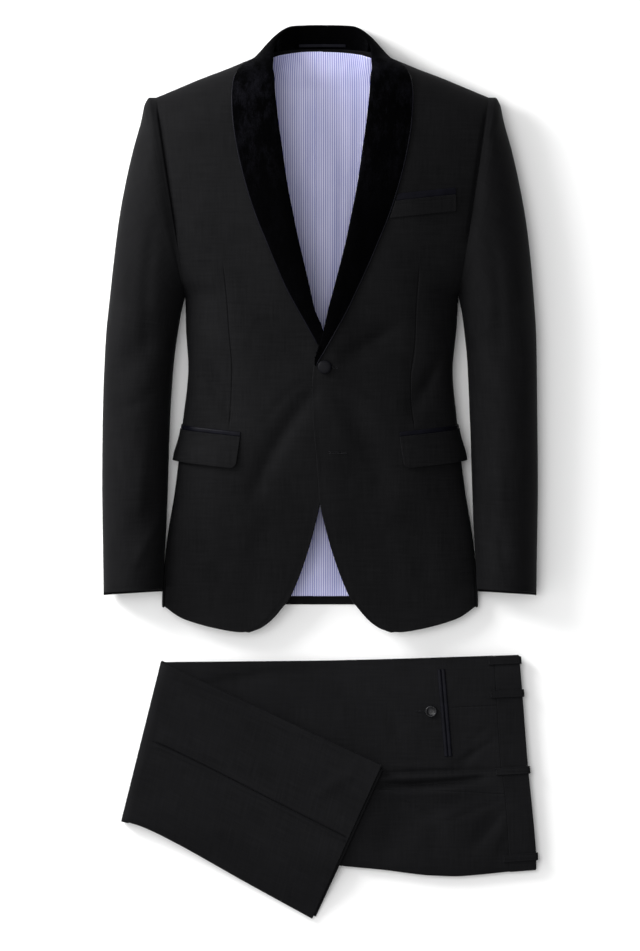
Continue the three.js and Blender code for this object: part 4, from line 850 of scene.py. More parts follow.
# Collar stand and hanger loop: a band of velvet over canvas inside the back neck, with a seam
# along its middle, and a flat satin loop whose ends are caught in the neck seam.
STAND = {
    "k": [0, 1, 2, 3, 4],
    "lx": [0, 23, 43, 55, 60.4],
    "ly": [570.6, 570.2, 568.9, 567.2, 565.6],
    "lz": [12.9, 13.9, 18.9, 28, 40],
    "hx": [0, 22.2, 41.6, 55.4, 61.4],
    "hy": [597.6, 597.2, 595, 586.6, 575.6],
    "hz": [19.6, 21.4, 27.4, 38.2, 51],
}
STAND_CLOTH = 2
STAND_SEAM = {"at": 0.5, "deep": 0.7, "wide": 0.03}
HANGER = {"thick": 1.4, "from": 0.325, "to": 0.675, "low": 0.13, "high": 0.25, "bow": 1.8}
velvet_finish, velvet_shader = shader_of("collar_velvet", (0.0006, 0.0006, 0.0008), 0.95, 0.01)
# Painted sheen: the velvet's base colour is lighter in cloudy patches, which stand in for light caught by the
# nap. The same clouds also bump the surface.
nap_bump_and_sheen_clouds = stretched_noise(velvet_finish, (60, 26, 40), 9.0, "Object", 0.78)
nap_fine = stretched_noise(velvet_finish, (700, 420, 500), 3.0, "Object")
VELVET_AND_SHEEN_TONES = {"dull": (0.0003, 0.0003, 0.0004), "painted_sheen": (0.0042, 0.0042, 0.0058)}
painted_nap_sheen = ramp(velvet_finish, nap_bump_and_sheen_clouds, [(0.46, VELVET_AND_SHEEN_TONES["dull"]), (0.74, VELVET_AND_SHEEN_TONES["painted_sheen"])])
sheen_band_where = node(velvet_finish, "ShaderNodeTexCoord").outputs["Object"]
sheen_band_axes = node(velvet_finish, "ShaderNodeSeparateXYZ", {0: sheen_band_where})
# The painted sheen lies mostly in a band across the collar between 500 and 550 mm up, by the shoulders. It
# fades down the lapels to 360 mm and quickly above 550 mm, and elsewhere the velvet keeps its dull colour.
sheen_band_stops = [(0.36, (0.14,) * 3), (0.5, (1, 1, 1)), (0.55, (1, 1, 1)), (0.58, (0.1,) * 3)]
sheen_band = ramp(velvet_finish, sheen_band_axes.outputs["Y"], sheen_band_stops)
painted_nap_sheen = blended(velvet_finish, "MIX", sheen_band, (*VELVET_AND_SHEEN_TONES["dull"], 1), painted_nap_sheen)
nap_specks = ramp(velvet_finish, nap_fine, [(0.3, (0.3, 0.3, 0.3)), (0.7, (1.5, 1.5, 1.5))])
velvet_with_painted_sheen = blended(velvet_finish, "MULTIPLY", 0.6, painted_nap_sheen, nap_specks)
velvet_sheen = {"Sheen_Weight": 0.01, "Sheen_Roughness": 0.35, "Sheen_Tint": (0.85, 0.88, 1, 1)}
paint(velvet_finish, velvet_shader, velvet_with_painted_sheen, **velvet_sheen)
nap_bump = bump(velvet_finish, velvet_shader, nap_fine, 0.5, 0.0006)
bump(velvet_finish, velvet_shader, nap_bump_and_sheen_clouds, 0.35, 0.002, nap_bump)

satin_finish, satin_shader = shader_of("black_satin", (0.003, 0.003, 0.005), 0.4, 0.05)
satin_yarn = stretched_noise(satin_finish, (240, 2800, 1))
satin_cloud = stretched_noise(satin_finish, (60, 40, 1), 2.0)
satin_stops = [(0.3, (0.0018, 0.0018, 0.0032)), (0.7, (0.0036, 0.0036, 0.006))]
satin_tone = ramp(satin_finish, satin_cloud, satin_stops)
paint(satin_finish, satin_shader, satin_tone, Anisotropic=0.3)
bump(satin_finish, satin_shader, satin_yarn, 0.35, 0.0001)


def stand_surface(u, v):
    at = np.abs(2 * u - 1) * 4
    side = np.where(u < 0.5, -1.0, 1.0)
    low, high = ([read(STAND, "k", end + axis, at) for axis in "xyz"] for end in ("l", "h"))
    x, y, z = (mix(a, b, v) for a, b in zip(low, high))
    return place(side, x, y, z)


stand_rows = np.unique(np.concatenate([lines(16, 0.04), np.linspace(0.42, 0.58, 17)]))
u, v = np.meshgrid(lines(120, 0.004), stand_rows)
surface = stand_surface(u, v)
facing = normals(surface, 1)
seam_line = STAND_SEAM["deep"] * hump(v - STAND_SEAM["at"], STAND_SEAM["wide"])[..., None]
stand_outer = surface - facing * seam_line
stand = shell("stand_band", stand_outer, surface - facing * STAND_CLOTH, velvet_finish)
u, v = np.meshgrid(lines(40, 0.01), lines(6, 0.08))
ribbon = stand_surface(mix(HANGER["from"], HANGER["to"], u), mix(HANGER["low"], HANGER["high"], v))
bow = (0.5 + HANGER["bow"] * (1 - (2 * u - 1) ** 4))[..., None]
facing = normals(ribbon, 1)
ribbon_top = ribbon + facing * (bow + HANGER["thick"])
hanger = shell("hanger_ribbon", ribbon_top, ribbon + facing * bow, satin_finish)
sew(hanger, "hanger_loop")
sew(stand, "collar_stand", surface)

# Shawl collar: cotton velvet over an under-collar, one long curved piece each side, joined at the
# centre back. It rolls at the opening and lies on the chest, with a thin satin cord caught in the
# seam along its outer edge, from the fastening up to the shoulder.
VELVET = 2.6
LAPEL_GAP = 1.1
LAPEL_PUFF = 3
LAPEL_ROLL = {"radius": 2.3, "turn": 2.5}
SHAWL_CHEST = {
    "y": [247, 279, 309, 343, 383, 430, 471, 509, 533],
    "roll": [16.8, 24.8, 32.2, 39.2, 47.2, 54, 59.8, 64, 66],
    "edge": [46.5, 61, 73.5, 87.3, 100.2, 111.7, 118, 118.9, 114.4],
}
SHAWL_POINT = {
    -1: {"y": [164, 176, 192, 215], "roll": [-9.6, -5.6, -1.2, 8.4], "edge": [-1.2, 5.7, 15.1, 28.6]},
    1: {
        "y": [143, 151, 160, 174, 192, 215],
        "roll": [-7.9, -6.0, -3.6, 0.9, 4.8, 9.0],
        "edge": [-6.6, -2.9, 2.2, 9.9, 19.6, 31.6],
    },
}
SHAWL_NECK = [
    ((67.5, 551, 83), (79, 553, 85), (94, 555, 69), (104.5, 550.5, 53)),
    ((67.5, 565, 67), (79, 568.5, 64), (92.5, 564, 24), (94, 550, 10)),
    ((65.5, 577, 52), (74, 580, 48), (84, 574, 7), (82, 548, 2)),
    ((58, 589, 38), (64, 592, 32), (68, 587, 0), (65, 551, 0)),
    ((44, 598.5, 27), (46, 603, 20), (48, 600, 0), (45, 554, 0)),
    ((23, 601, 21), (23, 605, 15), (23, 602, 0), (22, 556, 0)),
    ((0.15, 601.5, 19), (0.15, 605.5, 13), (0.15, 602.5, 0), (0.15, 556.5, 0)),
]
PIPING = {"across": 2.2, "high": 2.0, "start": {-1: 0.03, 1: 0.0}, "sides": 14, "thin": 0.3}


def on_front(side, x, y, out):
    """A point on the front, moved out along the cloth's normal."""
    step = 0.5
    slope_x = side * (chest_height(side, x + step, y) - chest_height(side, x - step, y)) / (2 * step)
    slope_y = (chest_height(side, x, y + step) - chest_height(side, x, y - step)) / (2 * step)
    normal = unit(np.stack([-slope_x, -slope_y, np.ones(np.shape(x))], axis=-1))
    return place(side, x, y, chest_height(side, x, y) + SEAM / 2) + normal * np.asarray(out)[..., None]


def shawl_surface(side, ts, ss):
    """A grid of points on the collar: ts run from the roll to the outer edge, ss from point to nape."""
    point = SHAWL_POINT[side]
    rows = [point[k] + SHAWL_CHEST[k] for k in ("y", "roll", "edge")]
    sections = []
    for y, roll, edge in zip(*rows):
        puff = LAPEL_PUFF * 2.6 * np.sqrt(ts) * (1 - ts) * min(1, max(0, (y - 185) / 80))
        at_y = np.full(len(ts), float(y))
        sections.append(on_front(side, mix(roll, edge, ts), at_y, LAPEL_GAP + VELVET + puff))
    for row in SHAWL_NECK:
        a, b, c, d = (place(side, *p)[None] for p in row)
        t = ts[:, None]
        sections.append(a * (1 - t) ** 3 + 3 * b * t * (1 - t) ** 2 + 3 * c * t * t * (1 - t) + d * t**3)
    sections = np.array(sections)
    return np.stack([spline(sections[:, j], ss) for j in range(len(ts))], axis=1)


def ringed(name, rings, first, last, finish):
    """A closed round body from rings of points, drawn together in a point at each end."""
    count, around = rings.shape[:2]
    ids = np.arange(count * around).reshape(count, around)
    after = np.roll(ids, -1, axis=1)
    quads = np.stack([ids[:-1], after[:-1], after[1:], ids[1:]], axis=-1).reshape(-1, 4)
    tip = count * around
    low = np.stack([after[0], ids[0], np.full(around, tip)], axis=1)
    high = np.stack([ids[-1], after[-1], np.full(around, tip + 1)], axis=1)
    round_it = np.linalg.norm(rings - np.roll(rings, 1, axis=1), axis=-1).cumsum(axis=1)
    along = np.concatenate([[0], np.linalg.norm(np.diff(rings.mean(axis=1), axis=0), axis=1).cumsum()])
    flat = np.stack([round_it, np.broadcast_to(along[:, None], round_it.shape)], axis=-1).reshape(-1, 2)
    flat = np.concatenate([flat, [[0, 0], [0, along[-1]]]])
    points = np.concatenate([rings.reshape(-1, 3), [first, last]])
    return make_mesh(name, points, quads, flat, finish, np.concatenate([low, high]))


for name, side in SIDES:
    section_count = len(SHAWL_POINT[side]["y"]) + len(SHAWL_CHEST["y"]) + len(SHAWL_NECK) - 1
    shoulder = (section_count - len(SHAWL_NECK)) / section_count
    ss = lines(260, 0.002)
    flat_part = shawl_surface(side, lines(34, 0.02), ss)
    facing = normals(flat_part, side)
    inward = unit(flat_part[:, 0] - flat_part[:, 2])
    turn = np.linspace(LAPEL_ROLL["turn"], 0, 12)[:-1][None, :, None]
    fade = (smooth((ss - 0.03) / 0.2) * smooth((1 - ss) / 0.02))[:, None, None]
    radius = LAPEL_ROLL["radius"] * fade
    rolled = flat_part[:, :1] + inward[:, None] * np.sin(turn) * radius
    rolled -= facing[:, :1] * (1 - np.cos(turn)) * radius
    rolled_facing = facing[:, :1] * np.cos(turn) + inward[:, None] * np.sin(turn)
    outer = np.concatenate([rolled, flat_part], axis=1)
    outward = np.concatenate([rolled_facing, facing], axis=1)
    thin = np.concatenate([np.full(11, 0.9), np.full(flat_part.shape[1], VELVET)])
    thin[:11] = np.linspace(0.5, 0.9, 11)
    thin[11:16] = np.linspace(1.0, VELVET, 5)
    inner = outer - outward * thin[None, :, None]
    shawl = shell(f"shawl_collar_{name}", outer, inner, velvet_finish)

    inside = (ss >= PIPING["start"][side]) & (ss <= shoulder + 0.01)
    end, before, up = flat_part[inside, -1], flat_part[inside, -4], facing[inside, -1]
    way = unit(end - before)
    middle = end + way * (SEAM + PIPING["across"] / 2) - up * (VELVET - 0.5 - PIPING["high"] / 2)
    share, angle = np.linspace(0, 1, len(middle)), np.linspace(0, 2 * np.pi, PIPING["sides"] + 1)[:-1]
    size = mix(PIPING["thin"], 1, smooth(share * 30) * smooth((1 - share) * 30))[:, None, None]
    ring = way[:, None] * (np.cos(angle) * PIPING["across"] / 2)[None, :, None]
    ring = ring + up[:, None] * (np.sin(angle) * PIPING["high"] / 2)[None, :, None]
    piping = ringed(f"piping_cord_{name}", middle[:, None] + ring * size, middle[0], middle[-1], satin_finish)
    sew(piping, f"piping_{name}")
    sew(shawl, f"shawl_{name}", outer)

# Hip pockets: a jet of satin along the opening and a wool flap with a rounded front corner,
# which hangs over it and follows the body round its side.
FLAP = {"across": 107, "y": 47, "length": 120, "drop": 42, "rise": 0.105, "corner": 8, "swing": 6}
FLAP |= {"thick": 2, "press": 0.12}
JET = {"height": 6, "above": 0.6, "thick": 1.2}
ON_CLOTH = 0.7


def girth_walk(y, from_x):
    """How far round the body a length of cloth reaches, as the girth's own measure."""
    start = float(girth_of_front(from_x, y))
    g = start - np.linspace(0, 1, 400) * (start + 2.2)
    track = girth_point(1, g, np.full(400, float(y)))
    far = np.concatenate([[0], np.cumsum(np.linalg.norm(np.diff(track, axis=0), axis=1))])
    return lambda wanted: np.interp(wanted, far, g)


walk = girth_walk(FLAP["y"], FLAP["across"])
for name, side in SIDES:

    def on_body(far, down):
        return girth_point(side, walk(far), FLAP["y"] + FLAP["rise"] * far - down)

    flap_rows = np.unique(np.concatenate([lines(30, 0.02), np.linspace(0.8, 1, 16)]))
    u, v = np.meshgrid(lines(70, 0.01), flap_rows)
    down = v * FLAP["drop"]
    past = np.clip(down - (FLAP["drop"] - FLAP["corner"]), 0, FLAP["corner"])
    corner = FLAP["corner"] - np.sqrt(FLAP["corner"] ** 2 - past**2)
    surface = on_body(mix(corner + 0.07 * down, FLAP["length"], u), down)
    facing = normals(surface, -side)
    hang = (ON_CLOTH + FLAP["swing"] * smooth(v) * (0.6 + 0.4 * u))[..., None]
    edge_in = np.minimum(np.minimum(u * FLAP["length"], (1 - u) * FLAP["length"]), (1 - v) * FLAP["drop"])
    press = FLAP["press"] * hump(edge_in - 5, 1.6)[..., None]
    outer = surface + facing * (hang + FLAP["thick"] - press)
    flap = shell(f"pocket_flap_{name}", outer, surface + facing * hang, jacket_wool)
    flap_outer = outer
    u, v = np.meshgrid(lines(70, 0.01), lines(10, 0.08))
    surface = on_body(mix(-1.5, FLAP["length"], u), -JET["above"] - JET["height"] * (1 - v))
    facing = normals(surface, -side)
    round_top = (JET["thick"] * (1 - 0.75 * (2 * v - 1) ** 4))[..., None]
    outer = surface + facing * (ON_CLOTH + round_top)
    jet = shell(f"pocket_jet_{name}", outer, surface + facing * ON_CLOTH, satin_finish)
    sew(jet, f"jet_{name}")
    sew(flap, f"flap_{name}", flap_outer)

# Breast pocket: a slanting wool welt on the left breast, the right as seen, with a satin strip
# above it, both tucked under the edge of the collar.
BREAST = {"left": 96, "right": 178, "low": 340.8, "height": 21, "rise": 0.112, "jet": 9.5}
BREAST |= {"thick": 2.8, "press": 0.3}


def chest_at(x, y):
    return place(1, x, y, chest_height(1, x, y) + SEAM / 2)


def breast_surface(low, high, u, v):
    base = BREAST["low"] + mix(low, high, v)
    start = read(SHAWL_CHEST, "y", "edge", base + 2) + SEAM + PIPING["across"] + 0.9
    x = mix(start, BREAST["right"], u)
    return chest_at(x, base + BREAST["rise"] * (x - BREAST["left"]))


u, v = np.meshgrid(lines(60, 0.01), lines(24, 0.03))
surface = breast_surface(0, BREAST["height"], u, v)
facing = normals(surface, 1)
in_edge = np.minimum((1 - v) * BREAST["height"], (1 - u) * 80)
press = BREAST["press"] * hump(in_edge - 4, 1.3)[..., None]
welt_outer = surface + facing * (ON_CLOTH + BREAST["thick"] - press)
welt = shell("chest_welt", welt_outer, surface + facing * ON_CLOTH, jacket_wool)
u, v = np.meshgrid(lines(60, 0.01), lines(12, 0.06))
jet_low = BREAST["height"] + 0.5
surface = breast_surface(jet_low, jet_low + BREAST["jet"], u, v)
facing = normals(surface, 1)
fold = (JET["thick"] * (1 - 0.7 * (2 * v - 1) ** 4))[..., None]
outer = surface + facing * (ON_CLOTH + fold)
strip = shell("chest_jet", outer, surface + facing * ON_CLOTH, satin_finish)
sew(strip, "breast_jet")
sew(welt, "breast_welt", welt_outer)

# Front button and buttonholes: one button covered in the same satin, sewn through the left
# front, and two worked buttonholes in the right one, purled with silk.
BUTTON = {"x": 5.4, "y": 140.5, "radius": 9.4, "thick": 4.2}
COVERED = [(0, 0), (0.8, 0), (0.97, 0.2), (1, 0.38), (0.985, 0.56), (0.94, 0.74), (0.84, 0.9), (0.66, 1.0)]
COVERED += [(0.4, 1.06), (0, 1.08)]
HOLES = [
    {"name": "buttonhole_top", "from": (15.5, 140.2), "to": (23.5, 139.4)},
    {"name": "buttonhole_low", "from": (12.5, 26.2), "to": (35, 25.4)},
]
EYELET = 1.3
PURL = {"spacing": 0.62, "length": 2.1, "radius": 0.24, "slot": 0.8}
button_finish, button_shader = shader_of("covered_button", (0.002, 0.002, 0.003), 0.5, 0.06)
button_weave = stretched_noise(button_finish, (900, 900, 900), 2.0, "Object")
bump(button_finish, button_shader, button_weave, 0.3, 0.0002)
button_stops = [(0.3, (0.0014, 0.0014, 0.0022)), (0.7, (0.003, 0.003, 0.0044))]
button_tone = ramp(button_finish, button_weave, button_stops)
paint(button_finish, button_shader, button_tone)
thread_finish, thread_shader = shader_of("silk_twist", (0.03, 0.03, 0.034), 0.5, 0.2)
thread_twist = stretched_noise(thread_finish, (500, 500, 500), 2.0, "Object")
thread_tone = ramp(thread_finish, thread_twist, [(0.3, (0.016, 0.016, 0.018)), (0.7, (0.036, 0.036, 0.04))])
paint(thread_finish, thread_shader, thread_tone)


def turned(name, profile, centre, finish, sides=56):
    """A body of revolution about an upright line through centre, from (radius, height) in millimetres."""
    fine = spline(profile, np.linspace(0, 1, 6 * len(profile)))
    angle = np.linspace(0, 2 * np.pi, sides + 1)[:-1]
    body = fine[1:-1]
    radius, height = body[:, :1], body[:, 1:]
    rings = np.stack([radius * np.cos(angle), radius * np.sin(angle), height + 0 * angle], axis=-1)
    ends = [np.array([0, 0, fine[k, 1]]) + centre for k in (0, -1)]
    return ringed(name, rings + centre, *ends, finish)


seat_of_button = chest_at(BUTTON["x"], BUTTON["y"]) + np.array([0, 0, 1.2])
button_profile = [(r * BUTTON["radius"], z * BUTTON["thick"]) for r, z in COVERED]
button = turned("covered_button", button_profile, seat_of_button, button_finish)
sew(button, "button_front")


def stitch_tree():
    """Geometry Nodes: short rounded stitches set along a line, each turned across or along it."""
    tree = bpy.data.node_groups.new("stitches", "GeometryNodeTree")
    face = tree.interface
    face.new_socket("Line", in_out="INPUT", socket_type="NodeSocketGeometry")
    for name, value in (("Spacing", 0.002), ("Length", 0.0015), ("Radius", 0.0003), ("Turn", 0.0)):
        face.new_socket(name, in_out="INPUT", socket_type="NodeSocketFloat").default_value = value
    face.new_socket("Thread", in_out="INPUT", socket_type="NodeSocketMaterial")
    face.new_socket("Stitches", in_out="OUTPUT", socket_type="NodeSocketGeometry")

    enter = node_in(tree, "NodeGroupInput").outputs
    curve = node_in(tree, "GeometryNodeMeshToCurve", {"Mesh": enter["Line"]})
    along = {"Curve": curve.outputs[0], "Length": enter["Spacing"]}
    spaced = node_in(tree, "GeometryNodeCurveToPoints", along, mode="LENGTH").outputs
    bead = node_in(tree, "GeometryNodeMeshUVSphere", {"Segments": 8, "Rings": 6, "Radius": enter["Radius"]})
    across = node_in(tree, "ShaderNodeMath", {0: enter["Radius"], 1: 2.0}, operation="MULTIPLY")
    slender = node_in(tree, "ShaderNodeMath", {0: enter["Length"], 1: across.outputs[0]}, operation="DIVIDE")
    size = node_in(tree, "ShaderNodeCombineXYZ", {0: 1.0, 1: 1.0, 2: slender.outputs[0]}).outputs[0]
    set_on = {"Points": spaced["Points"], "Instance": bead.outputs["Mesh"], "Rotation": spaced["Rotation"]}
    beads = node_in(tree, "GeometryNodeInstanceOnPoints", {**set_on, "Scale": size}).outputs[0]
    turn = node_in(tree, "ShaderNodeCombineXYZ", {0: enter["Turn"]}).outputs[0]
    turned_on = node_in(tree, "GeometryNodeRotateInstances", {"Instances": beads, "Rotation": turn})
    real = node_in(tree, "GeometryNodeRealizeInstances", {"Geometry": turned_on.outputs[0]})
    thread = {"Geometry": real.outputs[0], "Material": enter["Thread"]}
    painted = node_in(tree, "GeometryNodeSetMaterial", thread)
    node_in(tree, "NodeGroupOutput", {0: painted.outputs[0]})
    return tree


STITCHES = stitch_tree()


def stitched(name, paths, spacing, length, radius, turn, finish, slot):
    """Stitches along polylines in millimetres, as one plain mesh."""
    points = np.concatenate(paths)
    edges, start = [], 0
    for path in paths:
        edges += [(start + i, start + i + 1) for i in range(len(path) - 1)]
        start += len(path)
    line = bpy.data.meshes.new(name + "_line")
    line.from_pydata((points * MM).tolist(), edges, [])
    guide = bpy.data.objects.new(name + "_line", line)
    bpy.context.scene.collection.objects.link(guide)
    work = guide.modifiers.new("stitches", "NODES")
    work.node_group = STITCHES
    values = {"Spacing": spacing * MM, "Length": length * MM, "Radius": radius * MM}
    values |= {"Turn": turn, "Thread": finish}
    for item in STITCHES.interface.items_tree:
        if item.name in values and item.in_out == "INPUT":
            work[item.identifier] = values[item.name]
    graph = bpy.context.evaluated_depsgraph_get()
    mesh = bpy.data.meshes.new_from_object(guide.evaluated_get(graph))
    bpy.data.objects.remove(guide)
    mesh.name = name
    mesh.polygons.foreach_set("use_smooth", [True] * len(mesh.polygons))
    mesh.materials.clear()
    mesh.materials.append(finish)
    piece = bpy.data.objects.new(name, mesh)
    bpy.context.scene.collection.objects.link(piece)
    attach(piece, "root")
    return piece


for hole in HOLES:
    start, end = np.array(hole["from"], float), np.array(hole["to"], float)
    way = (end - start) / np.linalg.norm(end - start)
    beside = np.array([-way[1], way[0]])
    paths = []
    for offset in (-1, 1):
        plan = np.array([mix(start, end, t) + beside * offset * PURL["slot"] for t in np.linspace(0, 1, 24)])
        height = chest_height(1, plan[:, 0] - lean(plan[:, 1]), plan[:, 1], fine=True) + SEAM / 2 + 0.15
        paths.append(np.column_stack([plan, height]))
    turn = np.linspace(0, 2 * np.pi, 17)
    eyelet = start + EYELET * np.stack([np.cos(turn), np.sin(turn)], axis=1)
    height = chest_height(1, eyelet[:, 0] - lean(eyelet[:, 1]), eyelet[:, 1], fine=True) + SEAM / 2 + 0.25
    paths.append(np.column_stack([eyelet, height]))
    purl = (PURL["spacing"], PURL["length"], PURL["radius"], math.pi / 2)
    stitched(hole["name"], paths, *purl, thread_finish, "wool")

# Trousers, seat and thighs: the pair lies folded on its crease, seat to the top, with the side
# seam across the middle. The legs are turned back over it at the left.
FOLD_TOP = (-214.8, -256.2)
FOLD_LOW = (-268, -469.5)
FOLD_INSET = 5.5
SEAT_TOP_EDGE = {"x": [-275, -100, 0, 226, 292], "y": [-257, -255.4, -254.3, -247.9, -245.4]}
SEAT_LOW_EDGE = {
    "x": [-275, -170, -100, -40, 20, 86, 150, 183, 215, 256, 292],
    "y": [-469, -480, -497, -515, -530, -536.8, -544.3, -545.4, -543.2, -539, -536],
}
SIDE_LINE = {"x": [-275, -60, 86, 250, 292], "y": [-360, -392, -407, -402.6, -401.5]}
SEAT_RISE = {"x": [-275, -120, 20, 130, 230, 292], "z": [13, 14, 19, 22, 21, 19]}
SEAT_LENGTH = 500
SEAT_WIDTH = 290
SEAT_EDGE = 5
LAYER_SHARE = 0.45
LAYER_INSET = 5.2
LAYER_DROP = 1.9
WAIST_SEAM = [(256.2, -539.5), (255.2, -513), (249.8, -433.4), (244.4, -394.7), (239, -315), (234.6, -247.8)]
WAIST_EDGE = [(290.8, -537), (290.3, -513), (283, -432), (279.6, -399), (271.4, -293.5), (267.5, -246.6)]
SEAT_FOLDS = [
    ((84, -407), (142, -403), (240, -402.6), -2.4, 4),
    ((84, -414), (150, -413), (226, -407), 3.2, 6),
    ((80, -422), (140, -424), (224, -412), -5.2, 6.5),
    ((70, -431), (120, -430), (190, -432), 2.6, 9),
    ((246, -436), (190, -445), (130, -462), -2, 12),
    ((247, -452), (228, -470), (205, -512), -2.4, 11),
    ((210, -376), (202, -388), (186, -398), -1.8, 7),
    ((-140, -285), (-20, -270), (60, -266), -1.6, 12),
]
SEAT_CREASES = [
    ((124, -446), (106, -480), (84, -532), -6.5, 32),
    ((80, -421), (140, -423), (222, -411), -3.4, 3.8),
    ((84, -406), (146, -403), (236, -402), -1.8, 3),
    ((-170, -290), (-60, -266), (40, -260), -2.6, 9),
    ((70, -300), (104, -330), (110, -372), -1.6, 11),
    ((150, -452), (160, -486), (150, -530), -1.4, 12),
    ((236, -360), (214, -376), (176, -396), -1.1, 4),
    ((228, -340), (216, -356), (196, -366), -0.6, 5),
    ((150, -396), (128, -388), (92, -384), -0.7, 5),
    ((120, -336), (98, -352), (84, -380), -0.6, 8),
    ((247, -443), (214, -452), (168, -474), -1.1, 5),
    ((246, -460), (236, -474), (216, -500), -1.0, 5),
    ((248, -476), (240, -492), (232, -520), 0.8, 6),
    ((180, -520), (140, -500), (96, -494), -0.7, 12),
    ((-60, -276), (10, -282), (84, -300), -0.7, 12),
]
SEAT_DART = {"from": (174, -317.8), "to": (238, -314.6), "deep": 0.7, "wide": 0.8}
POCKET_SLANT = {"from": (77, -426.6), "via": (178.5, -430.5), "to": (250, -434.4), "deep": 0.7, "wide": 0.8}
trouser_wool = worsted("trouser_worsted", (0.0042, 0.0042, 0.0046), (0.0074, 0.0074, 0.0081), 0.6)


def between(a, b):
    a, b = np.array(a, float), np.array(b, float)
    return lambda t: mix(a, b, np.asarray(t)[..., None])


def inset(point):
    return (point[0] + FOLD_INSET, point[1])


def edge_at(table, low, high):
    def at(t):
        x = mix(low, high, t)
        return np.stack([x, read(table, "x", "y", x)], axis=-1)

    return at


waist_seam = through(WAIST_SEAM)
waist_edge = through(WAIST_EDGE)
seat_plan = patch(
    edge_at(SEAT_LOW_EDGE, inset(FOLD_LOW)[0], WAIST_SEAM[0][0] - LAYER_GAP),
    edge_at(SEAT_TOP_EDGE, inset(FOLD_TOP)[0], WAIST_SEAM[-1][0] - LAYER_GAP),
    between(inset(FOLD_LOW), inset(FOLD_TOP)),
    lambda t: waist_seam(t) - np.array([LAYER_GAP, 0]),
)
band_plan = patch(
    between(waist_seam(np.float64(0)), waist_edge(np.float64(0))),
    between(waist_seam(np.float64(1)), waist_edge(np.float64(1))),
    waist_seam,
    waist_edge,
)


def rounded(across, power):
    return (1 - np.minimum(1, np.abs(across)) ** power) ** (1 / power)


def seat_height(x, y, across, fine=False):
    rise = read(SEAT_RISE, "x", "z", x)
    layers = LAYER_SHARE * rise
    folds = crease_height(SEAT_FOLDS + (SEAT_CREASES if fine else []), x, y)
    body = rounded(across, SEAT_EDGE)
    return layers + (rise - layers + folds) * body


def seat_surface(u, v, fine=False):
    plan = seat_plan(u, v)
    x, y = plan[..., 0], plan[..., 1]
    return np.stack([x, y, seat_height(x, y, 2 * v - 1, fine)], axis=-1)


def side_seam_at(u):
    v = np.full(np.shape(u), 0.5)
    for _ in range(6):
        plan = seat_plan(u, v)
        width = seat_plan(u, np.ones_like(u))[..., 1] - seat_plan(u, np.zeros_like(u))[..., 1]
        v = v + (read(SIDE_LINE, "x", "y", plan[..., 0]) - plan[..., 1]) / width
    return v


def sewn_line(line, x, y):
    """The fine groove of a seam or dart, which fades at its ends."""
    start, end = np.array(line["from"], float), np.array(line["to"], float)
    track = through([start, line.get("via", mix(start, end, 0.5)), end])(np.linspace(0, 1, 200))
    far = y - np.interp(x, track[:, 0], track[:, 1])
    fade = smooth((x - track[0, 0]) / 8) * smooth((track[-1, 0] - x + 6) / 6)
    return -line["deep"] * hump(far, line["wide"]) * fade


BACK_POCKET = {"x": 158, "top": -266, "length": 117, "lean": 0.083, "welt": 4.9, "gap": 0.6, "off": 0.5}


def on_seat(x, y, fine=False):
    u, v = np.full(np.shape(x), 0.8), np.full(np.shape(x), 0.5)
    for _ in range(14):
        plan = seat_plan(u, v)
        u, v = u + (x - plan[..., 0]) / SEAT_LENGTH, v + (y - plan[..., 1]) / SEAT_WIDTH
    return seat_surface(u, v, fine)


def back_pocket_welts():
    """Two satin welts along the opening of the back pocket."""
    welts = []
    for i, name in enumerate(("front", "back")):
        u, v = np.meshgrid(lines(10, 0.06), lines(70, 0.01))
        y = BACK_POCKET["top"] - BACK_POCKET["length"] * (1 - v)
        start = BACK_POCKET["x"] + i * (BACK_POCKET["welt"] + BACK_POCKET["gap"])
        x = start + (BACK_POCKET["top"] - y) * BACK_POCKET["lean"] + BACK_POCKET["welt"] * u
        surface = on_seat(x, y)
        facing = normals(surface, 1)
        crown = (JET["thick"] * (1 - 0.7 * (2 * u - 1) ** 4))[..., None]
        outer = surface + facing * (BACK_POCKET["off"] + crown)
        flat = surface[..., :2][..., ::-1]
        inner = surface + facing * BACK_POCKET["off"]
        welts.append(shell(f"back_welt_{name}", outer, inner, satin_finish, flat))
        sew(welts[-1], f"pocket_welt_{name}")
    return welts


seat_columns = lines(200, 0.003)
for name, low, high in (("back", 0.0006, 1), ("front", 0, -0.0006)):
    is_back = name == "back"
    rows = lines(90, 0.006, 1.5 if is_back else 1.0)
    if is_back:
        rows = np.unique(np.concatenate([rows, np.linspace(0.48, 0.64, 60)]))
    else:
        rows = np.unique(np.concatenate([1 - lines(90, 0.006, 1.5), np.linspace(0.72, 0.9, 60)]))
    u, v = np.meshgrid(seat_columns, rows)
    seam = side_seam_at(u)
    share = mix(seam + 0.0006, 1, v) if is_back else mix(0, seam - 0.0006, v)
    outer = seat_surface(u, share, fine=True)
    line = SEAT_DART if is_back else POCKET_SLANT
    outer[..., 2] += sewn_line(line, outer[..., 0], outer[..., 1])
    facing = normals(outer, 1)
    piece = shell(f"seat_{name}", outer, outer - facing * CLOTH, trouser_wool)
    welts = back_pocket_welts() if is_back else []
    sew(piece, f"trouser_{name}", outer)

# The layers under the top one: the other half of the seat and both inner thighs, folded
# together, so that only their rounded edges show.
LAYER_RIDGE = 0.7


def inside(v, width):
    return mix(LAYER_INSET / width, 1 - LAYER_INSET / width, v)


def under_edge(across, layers):
    out = np.clip((np.abs(across) - 0.95) / 0.05, 0, 1)
    return 0.4 * layers * (1 - np.sqrt(1 - out * out))


def fold_lift(far):
    return (CLOTH + LAYER_GAP + 0.2 + 2.8 * hump(far, 4)) * (1 - smooth((far - 11) / 7))


